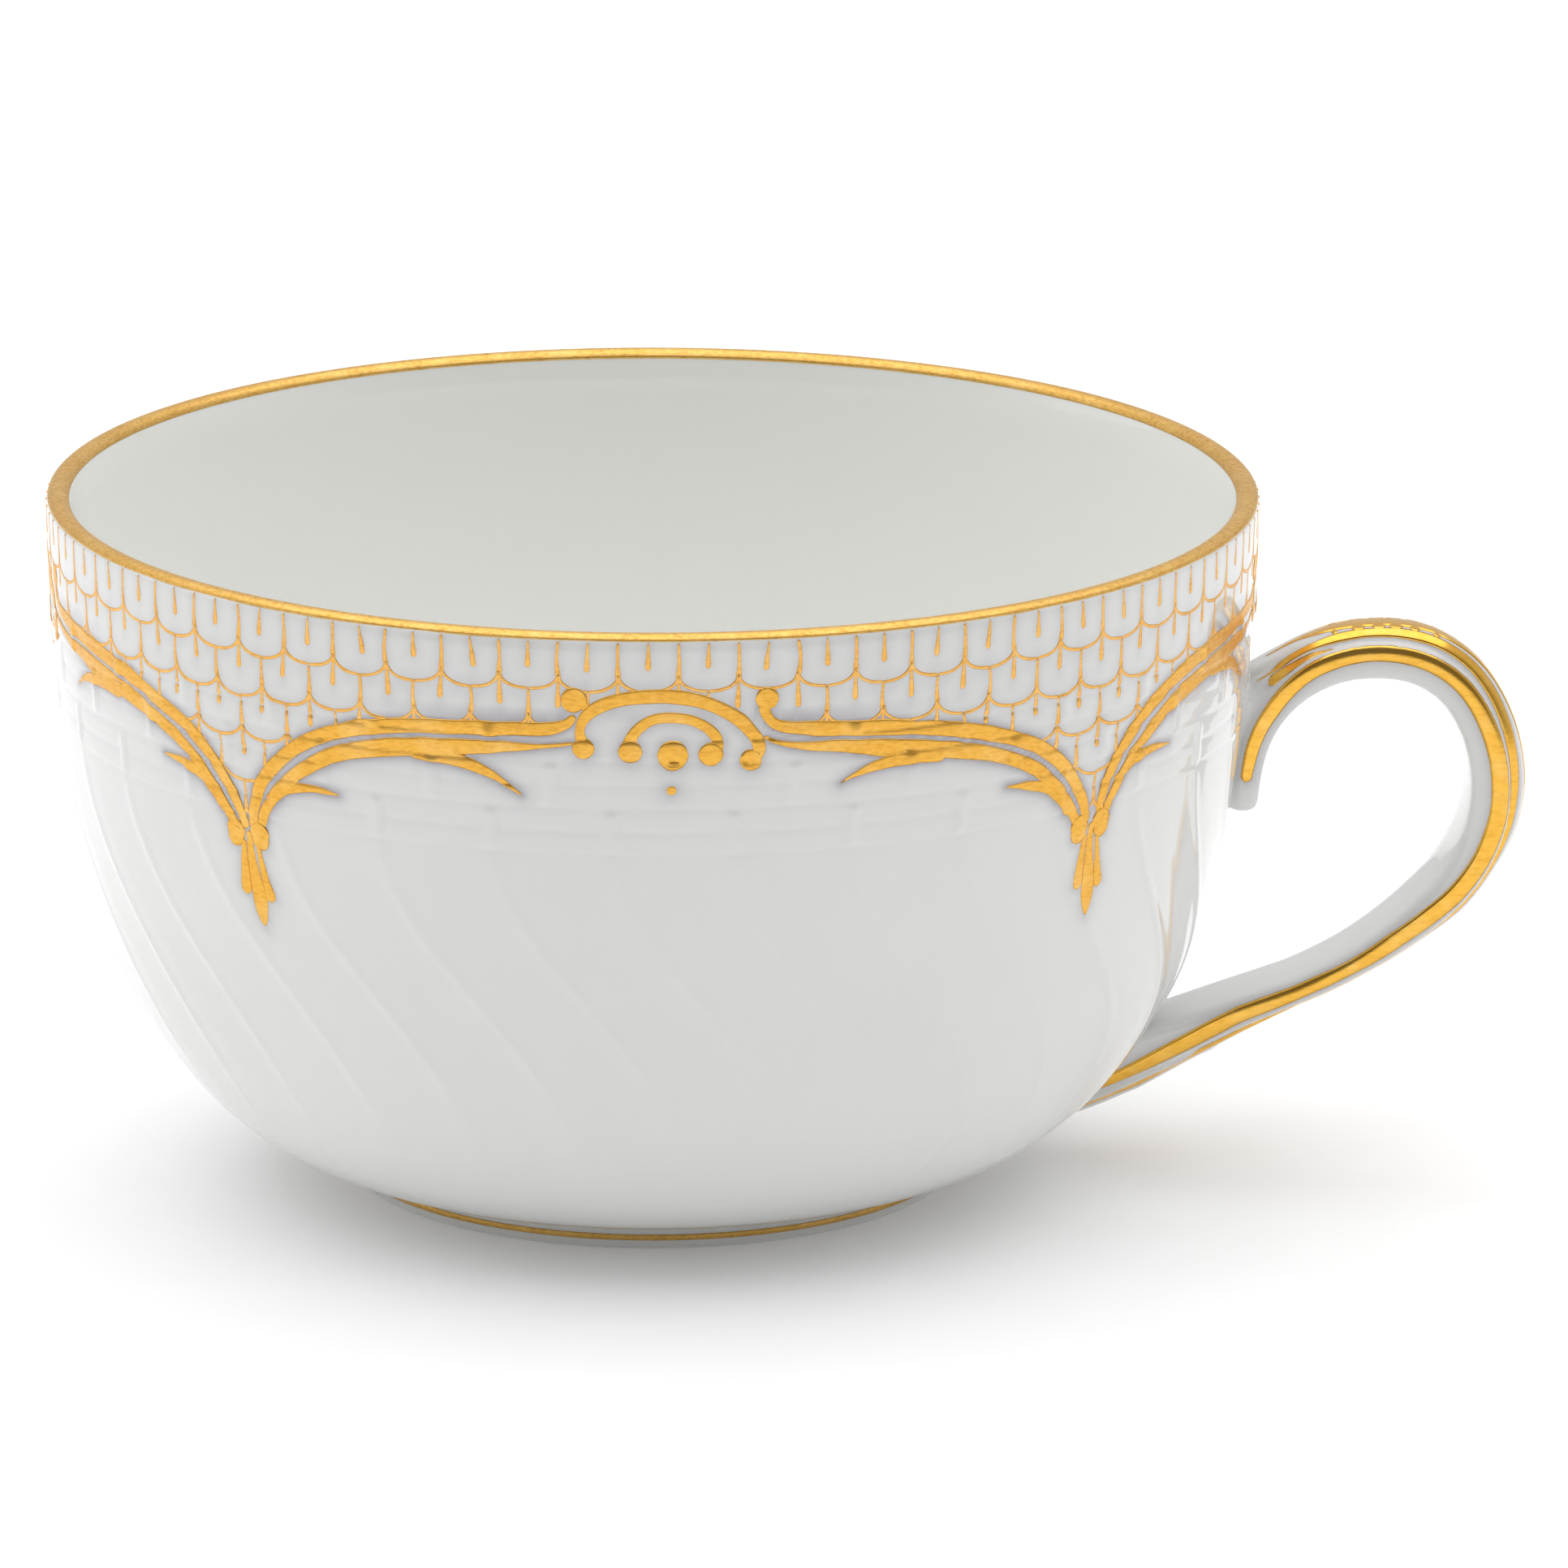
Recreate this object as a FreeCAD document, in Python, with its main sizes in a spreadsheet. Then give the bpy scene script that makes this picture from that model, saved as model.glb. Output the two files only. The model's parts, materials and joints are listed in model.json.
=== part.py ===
import FreeCAD, Part
import math
import os

import Sketcher
from FreeCAD import Placement, Rotation, Vector

# A porcelain teacup with gilt decoration, in millimetres.
# Origin: centre of the foot ring on the table. +Z is up and the handle points along +X.
# Ornament angles are measured about Z from -Y, positive towards the handle.

SIZES = [
    # The outside of the bowl: four tangent arcs between five stations (radius, height).
    ("rim_radius", 50.09), ("rim_height", 57.53),
    ("breast_radius", 49.22), ("breast_height", 40.89), ("upper_wall_arc", 263.18),
    ("waist_radius", 45.93), ("waist_height", 22.98), ("middle_wall_arc", 92.32),
    ("belly_radius", 38.69), ("belly_height", 9.36), ("lower_wall_arc", 37.49),
    ("base_radius", 26.12), ("base_height", 2.14), ("base_arc", 20.89),
    # The inside of the bowl, from the lip down to the middle of the floor.
    ("lip_inner_radius", 48.19), ("lip_inner_height", 57.57), ("lip_arc", 1.0),
    ("inner_breast_radius", 47.33), ("inner_breast_height", 41.05), ("inner_upper_arc", 261.3),
    ("inner_waist_radius", 44.10), ("inner_waist_height", 23.51), ("inner_middle_arc", 90.4),
    ("inner_belly_radius", 37.23), ("inner_belly_height", 10.58), ("inner_lower_arc", 35.6),
    ("floor_edge_radius", 26.41), ("floor_edge_height", 5.05), ("floor_edge_arc", 15.5),
    ("floor_height", 4.13), ("floor_arc", 378.6),
    # The foot ring.
    ("foot_radius", 25.60), ("foot_inner_radius", 22.40), ("foot_edge_round", 0.45),
    # The gilding: a film whose thickness is drawn large enough to be a solid.
    ("film", 0.15), ("foot_line_height", 0.90), ("foot_line_width", 0.55),
    # The middle line of the handle's strap: a start point and five tangent arcs.
    ("tab_x", 48.30), ("tab_z", 30.50),
    ("tab_bend", 23.0), ("tab_turn", 13.0),
    ("crown_bend", 11.2), ("crown_turn", 93.0),
    ("shoulder_bend", 8.8), ("shoulder_turn", 40.0),
    ("side_bend", 14.3), ("side_turn", 78.5),
    ("arm_bend", 35.0), ("arm_turn", 26.0), ("arm_length", 14.0),
    # The strap's section, measured from its middle line.
    ("strap_half_width", 4.0), ("strap_depth", 2.0), ("strap_side", 0.8), ("strap_edge", 0.1),
    ("bead_across", 3.35), ("bead_rise", 0.95), ("bead_inner", 2.55), ("bead_foot", 0.45),
    ("spine_half_width", 1.5), ("spine_foot", 1.05), ("spine_rise", 2.2),
    # The webs at the strap's two ends.
    ("web_half_width", 2.6),
]

ORIGIN = -1
AXIS = -2
ARC_START = 1
ARC_END = 2
ARC_CENTRE = 3

doc = FreeCAD.newDocument("teacup")
sheet = doc.addObject("Spreadsheet::Sheet", "sizes")
for row, (alias, value) in enumerate(SIZES, start=1):
    sheet.set(f"A{row}", alias)
    sheet.set(f"B{row}", str(value))
    sheet.setAlias(f"B{row}", alias)
doc.recompute()


def size(alias):
    return float(sheet.get(alias))


# ---------------------------------------------------------------- sketch helpers

def origin_plane(body, role):
    return next(plane for plane in body.Origin.OriginFeatures if plane.Role == role)


def sketch_on(body, role, name):
    sketch = body.newObject("Sketcher::SketchObject", name)
    sketch.AttachmentSupport = [(origin_plane(body, role), "")]
    sketch.MapMode = "FlatFace"
    return sketch


def bind(sketch, constraint, expression):
    index = sketch.addConstraint(constraint)
    sketch.setExpression(f"Constraints[{index}]", expression)


def arc_between(start, end, radius, left):
    """The short arc from start to end; left says on which side of the chord its centre lies."""
    chord = end - start
    half = chord.Length / 2
    normal = Vector(-chord.y, chord.x, 0).normalize()
    reach = math.sqrt(radius * radius - half * half)
    centre = start + chord * 0.5 + normal * (reach if left else -reach)
    first = math.atan2(start.y - centre.y, start.x - centre.x)
    last = math.atan2(end.y - centre.y, end.x - centre.x)
    circle = Part.Circle(centre, Vector(0, 0, 1), radius)
    if left:
        return Part.ArcOfCircle(circle, first, last if last > first else last + 2 * math.pi)
    return Part.ArcOfCircle(circle, last, first if first > last else first + 2 * math.pi)


def corner_value(coordinate):
    return size(coordinate) if isinstance(coordinate, str) else coordinate


def draw_outline(sketch, corners, edges):
    """A closed outline. corners are (x, z), each a size's alias or 0; edges say how to reach
    the next corner: None for a line, or (arc radius alias, centre on the left)."""
    points = [Vector(corner_value(x), corner_value(z), 0) for x, z in corners]
    ends = []
    for index, edge in enumerate(edges):
        start = points[index]
        end = points[(index + 1) % len(points)]
        if edge is None:
            curve = Part.LineSegment(start, end)
            first, last = ARC_START, ARC_END
        else:
            alias, left = edge
            curve = arc_between(start, end, size(alias), left)
            first, last = (ARC_START, ARC_END) if left else (ARC_END, ARC_START)
        ends.append((sketch.addGeometry(curve), first, last))
    for index, (geometry, first, last) in enumerate(ends):
        follower, follower_first, _ = ends[(index + 1) % len(ends)]
        sketch.addConstraint(
            Sketcher.Constraint("Coincident", geometry, last, follower, follower_first)
        )
    for (geometry, first, _), (x, z) in zip(ends, corners):
        if isinstance(x, str):
            bind(sketch, Sketcher.Constraint(
                "DistanceX", ORIGIN, 1, geometry, first, size(x)), f"sizes.{x}")
        else:
            sketch.addConstraint(Sketcher.Constraint("PointOnObject", geometry, first, AXIS))
        if isinstance(z, str):
            bind(sketch, Sketcher.Constraint(
                "DistanceY", ORIGIN, 1, geometry, first, size(z)), f"sizes.{z}")
        else:
            sketch.addConstraint(Sketcher.Constraint("PointOnObject", geometry, first, ORIGIN))
    for (geometry, _, _), edge in zip(ends, edges):
        if edge is not None:
            bind(sketch, Sketcher.Constraint("Radius", geometry, size(edge[0])), f"sizes.{edge[0]}")


def revolved_body(name, corners, edges):
    """A body turned about Z from an outline in the XZ plane."""
    body = doc.addObject("PartDesign::Body", name)
    sketch = sketch_on(body, "XZ_Plane", f"{name}_profile")
    draw_outline(sketch, corners, edges)
    turned = body.newObject("PartDesign::Revolution", f"{name}_turned")
    turned.Profile = sketch
    turned.ReferenceAxis = (sketch, ["V_Axis"])
    turned.Angle = 360
    body.Tip = turned
    return body


# ---------------------------------------------------------------- bowl and foot

OUTER_STATIONS = [
    ("rim_radius", "rim_height"), ("breast_radius", "breast_height"),
    ("waist_radius", "waist_height"), ("belly_radius", "belly_height"),
    ("base_radius", "base_height"),
]
OUTER_ARCS = ["upper_wall_arc", "middle_wall_arc", "lower_wall_arc", "base_arc"]
INNER_STATIONS = [
    ("floor_edge_radius", "floor_edge_height"), ("inner_belly_radius", "inner_belly_height"),
    ("inner_waist_radius", "inner_waist_height"), ("inner_breast_radius", "inner_breast_height"),
    ("lip_inner_radius", "lip_inner_height"),
]
INNER_ARCS = ["floor_edge_arc", "inner_lower_arc", "inner_middle_arc", "inner_upper_arc"]


def make_bowl():
    corners = OUTER_STATIONS + [(0, "base_height"), (0, "floor_height")] + INNER_STATIONS
    edges = [(alias, False) for alias in OUTER_ARCS]
    edges += [None, None, ("floor_arc", True)]
    edges += [(alias, True) for alias in INNER_ARCS]
    edges += [("lip_arc", False)]
    return revolved_body("bowl", corners, edges)


def make_envelope():
    """The bowl filled in: it trims the handle where it meets the wall."""
    corners = OUTER_STATIONS + [(0, "base_height"), (0, "rim_height")]
    edges = [(alias, False) for alias in OUTER_ARCS] + [None, None, None]
    return revolved_body("bowl_envelope", corners, edges)


def make_foot_ring():
    ring = doc.addObject("Part::Cylinder", "foot_blank")
    ring.setExpression("Radius", "sizes.foot_radius")
    ring.setExpression("Height", "sizes.base_height")
    hollow = doc.addObject("Part::Cylinder", "foot_hollow")
    hollow.setExpression("Radius", "sizes.foot_inner_radius")
    hollow.setExpression("Height", "sizes.base_height")
    cut = doc.addObject("Part::Cut", "foot_cut")
    cut.Base = ring
    cut.Tool = hollow
    doc.recompute()
    rounding = size("foot_edge_round")
    bottom = [
        (number, rounding, rounding)
        for number, edge in enumerate(cut.Shape.Edges, start=1)
        if edge.BoundBox.ZMax < 0.001 and edge.BoundBox.XLength > 1
    ]
    foot = doc.addObject("Part::Fillet", "foot_ring")
    foot.Base = cut
    foot.Edges = bottom
    return foot


# ---------------------------------------------------------------- handle

def strap_path(name):
    """The strap's middle line: it rises from the tab, turns over the crown, down the side
    and runs straight back into the wall near the foot."""
    sketch = doc.addObject("Sketcher::SketchObject", name)
    sketch.Placement = Placement(Vector(0, 0, 0), Rotation(Vector(1, 0, 0), 90))
    point = Vector(size("tab_x"), size("tab_z"), 0)
    heading = math.pi / 2
    previous = None
    for part in ("tab", "crown", "shoulder", "side", "arm"):
        radius = size(f"{part}_bend")
        turn = math.radians(size(f"{part}_turn"))
        centre = point + Vector(math.sin(heading), -math.cos(heading), 0) * radius
        start_angle = heading + math.pi / 2
        circle = Part.Circle(centre, Vector(0, 0, 1), radius)
        geometry = sketch.addGeometry(Part.ArcOfCircle(circle, start_angle - turn, start_angle))
        bind(sketch, Sketcher.Constraint("Radius", geometry, radius), f"sizes.{part}_bend")
        bind(sketch, Sketcher.Constraint("Angle", geometry, turn), f"sizes.{part}_turn * 1deg")
        if previous is None:
            bind(sketch, Sketcher.Constraint(
                "DistanceX", ORIGIN, 1, geometry, ARC_END, point.x), "sizes.tab_x")
            bind(sketch, Sketcher.Constraint(
                "DistanceY", ORIGIN, 1, geometry, ARC_END, point.y), "sizes.tab_z")
            sketch.addConstraint(
                Sketcher.Constraint("Horizontal", geometry, ARC_END, geometry, ARC_CENTRE))
        else:
            sketch.addConstraint(
                Sketcher.Constraint("Tangent", previous, ARC_START, geometry, ARC_END))
        heading -= turn
        point = centre + Vector(-math.sin(heading), math.cos(heading), 0) * radius
        previous = geometry
    end = point + Vector(math.cos(heading), math.sin(heading), 0) * size("arm_length")
    line = sketch.addGeometry(Part.LineSegment(point, end))
    sketch.addConstraint(Sketcher.Constraint("Tangent", previous, ARC_START, line, 1))
    bind(sketch, Sketcher.Constraint("Distance", line, size("arm_length")), "sizes.arm_length")
    return sketch


def section_point(across, rise):
    """A point of the strap's section at the tab, where outward is -X and across is Y."""
    return Vector(size("tab_x") - rise, across, size("tab_z"))


def three_point_arc(first, middle, last):
    return Part.Arc(section_point(*first), section_point(*middle), section_point(*last)).toShape()


def bead_arc(side, offset):
    """The rounded edge bead at side -1 or +1, moved out by offset."""
    outer = (side * (size("strap_half_width") + offset), size("strap_edge"))
    top = (side * (size("bead_across") + offset * 0.3), size("bead_rise") + offset)
    inner = (side * size("bead_inner"), size("bead_foot") + offset * 0.6)
    return outer, top, inner


def spine_arc(offset):
    half = size("spine_half_width")
    foot = size("spine_foot")
    return (-half, foot + offset * 0.6), (0, size("spine_rise") + offset), (half, foot + offset * 0.6)


def strap_section():
    """The closed section: a flat inner face, two edge beads and a taller middle spine."""
    half = size("strap_half_width")
    depth = -size("strap_depth")
    side = -size("strap_side")
    inset = half - (abs(depth) - abs(side)) * 0.7
    front = bead_arc(-1, 0)
    back = bead_arc(1, 0)
    spine = spine_arc(0)
    diagonal = (half + inset) / 2 + 0.25
    low = (depth + side) / 2 - 0.25
    edges = [
        Part.LineSegment(section_point(-inset, depth), section_point(inset, depth)).toShape(),
        three_point_arc((inset, depth), (diagonal, low), (half, side)),
        Part.LineSegment(section_point(half, side), section_point(*back[0])).toShape(),
        three_point_arc(*back),
        Part.LineSegment(section_point(*back[2]), section_point(*spine[2])).toShape(),
        three_point_arc(*spine),
        Part.LineSegment(section_point(*spine[0]), section_point(*front[2])).toShape(),
        three_point_arc(*front),
        Part.LineSegment(section_point(*front[0]), section_point(-half, side)).toShape(),
        three_point_arc((-half, side), (-diagonal, low), (-inset, depth)),
    ]
    return Part.Wire(Part.__sortEdges__(edges))


def film_section(inner, outer):
    """The crescent between an arc of the strap and the same arc moved out by the film."""
    edges = [
        three_point_arc(*inner),
        Part.LineSegment(section_point(*inner[2]), section_point(*outer[2])).toShape(),
        three_point_arc(*outer),
        Part.LineSegment(section_point(*inner[0]), section_point(*outer[0])).toShape(),
    ]
    return Part.Wire(Part.__sortEdges__(edges))


def swept(name, section, path):
    """A sweep of a section wire along every edge of the strap's path."""
    profile = doc.addObject("Part::Feature", f"{name}_section")
    profile.Shape = section
    sweep = doc.addObject("Part::Sweep", f"{name}_sweep")
    sweep.Sections = [profile]
    sweep.Spine = (path, [f"Edge{number + 1}" for number in range(len(path.Shape.Edges))])
    sweep.Solid = True
    sweep.Frenet = False
    return sweep


# The outlines, in x and z, of the two webs that spread the strap's ends on to the wall.
CROWN_WEB = [(54.4, 44.6), (52.2, 43.5), (48.0, 41.6), (48.0, 37.6), (51.0, 37.9), (54.0, 41.5)]
ARM_WEB = [(50.0, 11.3), (45.0, 8.6), (40.5, 6.0), (36.0, 4.1), (36.0, 9.0), (48.0, 13.2)]


def make_web(name, corners):
    wire = Part.makePolygon([Vector(x, 0, z) for x, z in corners + corners[:1]])
    half = size("web_half_width")
    block = Part.Face(wire).extrude(Vector(0, 2 * half, 0))
    block.translate(Vector(0, -half, 0))
    web = doc.addObject("Part::Feature", name)
    web.Shape = block
    return web


def trimmed(name, base, envelope):
    cut = doc.addObject("Part::Cut", name)
    cut.Base = base
    cut.Tool = envelope
    return cut


def make_handle(path, envelope):
    strap = swept("handle", strap_section(), path)
    whole = doc.addObject("Part::MultiFuse", "handle_whole")
    whole.Shapes = [strap, make_web("crown_web", CROWN_WEB), make_web("arm_web", ARM_WEB)]
    whole.Refine = True
    return trimmed("handle", whole, envelope)


def make_handle_lines(path, envelope):
    """The three gilt lines along the back of the strap, each the one run outside the wall."""
    film = size("film")
    sections = {
        "handle_front_line": film_section(bead_arc(-1, 0), bead_arc(-1, film)),
        "handle_spine_line": film_section(spine_arc(0), spine_arc(film)),
        "handle_back_line": film_section(bead_arc(1, 0), bead_arc(1, film)),
    }
    lines = []
    for name, section in sections.items():
        cut = trimmed(f"{name}_cut", swept(name, section, path), envelope)
        doc.recompute()
        line = doc.addObject("Part::Feature", name)
        line.Shape = max(cut.Shape.Solids, key=lambda solid: solid.Volume)
        lines.append(line)
    return lines


# ---------------------------------------------------------------- gilt bands

def make_rim_band():
    """The gilding over the lip: a crescent about the lip's own arc."""
    radius = size("lip_arc")
    outer = Vector(size("rim_radius"), 0, size("rim_height"))
    inner = Vector(size("lip_inner_radius"), 0, size("lip_inner_height"))
    chord = outer - inner
    rise = math.sqrt(radius ** 2 - (chord.Length / 2) ** 2)
    centre = (outer + inner) * 0.5 - Vector(-chord.z, 0, chord.x).normalize() * rise
    top = centre + Vector(0, 0, radius)
    grow = 1 + size("film") / radius

    def moved_out(point):
        return centre + (point - centre) * grow

    edges = [
        Part.Arc(outer, top, inner).toShape(),
        Part.LineSegment(inner, moved_out(inner)).toShape(),
        Part.Arc(moved_out(inner), moved_out(top), moved_out(outer)).toShape(),
        Part.LineSegment(moved_out(outer), outer).toShape(),
    ]
    section = doc.addObject("Part::Feature", "rim_band_section")
    section.Shape = Part.Face(Part.Wire(edges))
    band = doc.addObject("Part::Revolution", "rim_band")
    band.Source = section
    band.Axis = Vector(0, 0, 1)
    band.Angle = 360
    band.Solid = True
    return band


def make_foot_band():
    outer = doc.addObject("Part::Cylinder", "foot_band_outer")
    outer.setExpression("Radius", "sizes.foot_radius + sizes.film")
    inner = doc.addObject("Part::Cylinder", "foot_band_inner")
    inner.setExpression("Radius", "sizes.foot_radius")
    for cylinder in (outer, inner):
        cylinder.setExpression("Height", "sizes.foot_line_width")
        cylinder.setExpression(".Placement.Base.z", "sizes.foot_line_height")
    band = doc.addObject("Part::Cut", "foot_band")
    band.Base = outer
    band.Tool = inner
    return band


# ---------------------------------------------------------------- ornament

# Each stroke is a list of (angle, height, width), left of the crest; it is mirrored to the right.
UPPER_SCROLL = [
    (-9.3, 51.0, 1.0), (-15.0, 50.45, 1.1), (-24.2, 50.0, 1.15), (-31.0, 48.9, 1.15),
    (-36.5, 46.8, 1.1), (-40.5, 43.6, 1.1), (-42.3, 40.5, 1.0), (-42.5, 38.8, 0.8),
]
LOWER_SCROLL = [
    (-9.5, 49.2, 0.25), (-14.0, 48.95, 0.8), (-20.0, 48.65, 1.35), (-26.5, 48.0, 1.4),
    (-32.5, 46.7, 1.2), (-37.5, 44.1, 1.0), (-40.6, 41.2, 0.9), (-41.8, 39.4, 0.8),
]
LONG_SPUR = [(-20.0, 48.35, 1.0), (-16.6, 47.2, 0.8), (-13.8, 44.9, 0.2)]
SHORT_SPUR = [(-38.3, 43.2, 1.0), (-34.8, 43.7, 0.7), (-31.6, 43.3, 0.2)]
GREAT_ARCH = [
    (-8.1, 48.8, 0.9), (-8.2, 50.6, 0.95), (-6.2, 52.2, 1.05), (-3.2, 53.2, 1.1),
    (0.0, 53.35, 1.1), (3.2, 52.8, 1.1), (6.2, 51.2, 1.05), (7.9, 49.4, 0.95), (7.9, 48.1, 0.9),
]
SMALL_ARCH = [
    (-3.8, 48.9, 0.7), (-3.0, 50.8, 0.75), (-1.5, 51.5, 0.8), (0.2, 51.65, 0.8),
    (1.9, 51.3, 0.8), (3.3, 50.3, 0.75), (3.7, 48.6, 0.7),
]
# Round dots of (angle, height, radius).
CREST_DOTS = [
    (0.0, 48.5, 1.15), (0.0, 45.7, 0.35), (-8.6, 52.9, 0.95), (8.3, 52.8, 0.85),
    (-8.0, 48.9, 0.8), (7.2, 47.9, 0.8), (-3.8, 48.8, 0.85), (3.6, 48.5, 0.85),
]
# The tassel hangs where two garlands meet; its angles are counted from its own middle.
TASSEL_DOTS = [(-1.6, 38.4, 0.9), (1.6, 38.3, 0.95)]
TASSEL_DROPS = [
    [(-1.0, 37.6, 0.35), (-1.5, 34.5, 0.75), (-1.6, 32.8, 0.3)],
    [(0.0, 38.4, 0.5), (0.1, 34.0, 1.0), (0.0, 30.6, 0.15)],
    [(1.1, 37.5, 0.3), (1.6, 34.4, 0.7), (1.7, 32.6, 0.3)],
]
DRAWN_HALF_SPAN = 43.5
GARLANDS = [("front", 0.0, 43.5), ("handle_side", 89.0, 45.5), ("back", 180.0, 45.5),
            ("left_side", -89.0, 45.5)]
TASSELS = [("front_right", 43.5), ("back_right", 134.5), ("back_left", -134.5),
           ("front_left", -43.5)]
BLOCK_REACH = 60.0


def flat_point(angle, height):
    """The point of the upright tangent plane in front of the wall at angle and height."""
    return Vector(size("breast_radius") * math.sin(math.radians(angle)), 0, height)


def stroke_block(points, stretch):
    """A brush stroke of varying width, cut through the wall towards -Y."""
    centres = [flat_point(angle * stretch, height) for angle, height, _ in points]
    left = []
    right = []
    for index, centre in enumerate(centres):
        before = centres[max(index - 1, 0)]
        after = centres[min(index + 1, len(centres) - 1)]
        along = (after - before).normalize()
        side = Vector(-along.z, 0, along.x) * (points[index][2] / 2)
        left.append(centre + side)
        right.append(centre - side)
    edges = [
        smooth_curve(left),
        Part.LineSegment(left[-1], right[-1]).toShape(),
        smooth_curve(right),
        Part.LineSegment(right[0], left[0]).toShape(),
    ]
    face = Part.Face(Part.Wire(Part.__sortEdges__(edges)))
    return face.extrude(Vector(0, -BLOCK_REACH, 0))


def smooth_curve(points):
    curve = Part.BSplineCurve()
    curve.interpolate(points)
    return curve.toShape()


def dot_block(angle, height, radius, stretch):
    centre = flat_point(angle * stretch, height)
    return Part.makeCylinder(radius, BLOCK_REACH, centre, Vector(0, -1, 0))


def mirrored(points):
    return [(-angle, height, width) for angle, height, width in points]


def film_shell():
    """The film's own layer on the wall, between the rim and the waist."""
    film = size("film")
    stations = [Vector(size(x), 0, size(z)) for x, z in OUTER_STATIONS[:3]]
    arcs = [size(alias) for alias in OUTER_ARCS[:2]]
    inner = []
    outer = []
    for start, end, radius in zip(stations, stations[1:], arcs):
        chord = end - start
        reach = math.sqrt(radius ** 2 - (chord.Length / 2) ** 2)
        centre = (start + end) * 0.5 - Vector(-chord.z, 0, chord.x).normalize() * reach
        grow = 1 + film / radius
        middle = centre + ((start + end) * 0.5 - centre).normalize() * radius
        inner.append(Part.Arc(start, middle, end))
        outer.append(Part.Arc(
            centre + (start - centre) * grow,
            centre + (middle - centre) * grow,
            centre + (end - centre) * grow,
        ))
    faces = []
    for near, far in zip(inner, outer):
        edges = [
            near.toShape(),
            Part.LineSegment(near.EndPoint, far.EndPoint).toShape(),
            far.toShape(),
            Part.LineSegment(far.StartPoint, near.StartPoint).toShape(),
        ]
        faces.append(Part.Face(Part.Wire(Part.__sortEdges__(edges))))
    rings = [face.revolve(Vector(0, 0, 0), Vector(0, 0, 1), 360) for face in faces]
    return rings[0].fuse(rings[1]).removeSplitter()


def ornament(name, blocks, shell, angle):
    """The film wherever the blocks cross it, turned to its place round the cup."""
    joined = blocks[0].multiFuse(blocks[1:])
    film = doc.addObject("Part::Feature", name)
    solids = shell.common(joined).Solids
    film.Shape = Part.Compound(solids)
    film.Placement = Placement(Vector(0, 0, 0), Rotation(Vector(0, 0, 1), angle))
    return film


def make_garland(name, stretch, shell, angle):
    strokes = [UPPER_SCROLL, LOWER_SCROLL, LONG_SPUR, SHORT_SPUR]
    strokes += [mirrored(stroke) for stroke in strokes]
    blocks = [stroke_block(stroke, stretch) for stroke in strokes]
    return ornament(f"garland_{name}", blocks, shell, angle)


def make_crest(name, shell, angle):
    blocks = [stroke_block(stroke, 1) for stroke in (GREAT_ARCH, SMALL_ARCH)]
    blocks += [dot_block(*dot, 1) for dot in CREST_DOTS]
    return ornament(f"crest_{name}", blocks, shell, angle)


def make_tassel(name, shell, angle):
    blocks = [stroke_block(stroke, 1) for stroke in TASSEL_DROPS]
    blocks += [dot_block(*dot, 1) for dot in TASSEL_DOTS]
    return ornament(f"tassel_{name}", blocks, shell, angle)


# ---------------------------------------------------------------- assembly

def build():
    bowl = make_bowl()
    envelope = make_envelope()
    foot = make_foot_ring()
    path = strap_path("strap_path")
    doc.recompute()
    handle = make_handle(path, envelope)
    parts = [bowl, foot, handle, make_rim_band(), make_foot_band()]
    parts += make_handle_lines(path, envelope)
    shell = film_shell()
    for name, angle, half_span in GARLANDS:
        parts.append(make_garland(name, half_span / DRAWN_HALF_SPAN, shell, angle))
        parts.append(make_crest(name, shell, angle))
    for name, angle in TASSELS:
        parts.append(make_tassel(name, shell, angle))
    doc.recompute()
    return parts


def check(parts):
    for item in doc.Objects:
        if "Invalid" in item.State or "Error" in item.State:
            raise RuntimeError(f"{item.Name} failed: {item.State}")
    for part in parts:
        if part.Shape.isNull() or not part.Shape.isValid():
            raise RuntimeError(f"{part.Name} has no valid shape")
        if not part.Shape.Solids:
            raise RuntimeError(f"{part.Name} has no solid")


def export(parts):
    os.makedirs("parts", exist_ok=True)
    for part in parts:
        label = part.Name
        part.Label = label
        part.Shape.exportStep(f"parts/{label}.step")
        box = part.Shape.BoundBox
        print(label, len(part.Shape.Solids), "solids", round(part.Shape.Volume, 2), "mm3",
              [round(v, 2) for v in (box.XMin, box.XMax, box.YMin, box.YMax, box.ZMin, box.ZMax)])


cup_parts = build()
check(cup_parts)
export(cup_parts)
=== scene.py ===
import json
import math

import bpy
import numpy as np
from mathutils import Matrix, Vector
from mathutils.bvhtree import BVHTree
from mathutils.kdtree import KDTree

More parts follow.
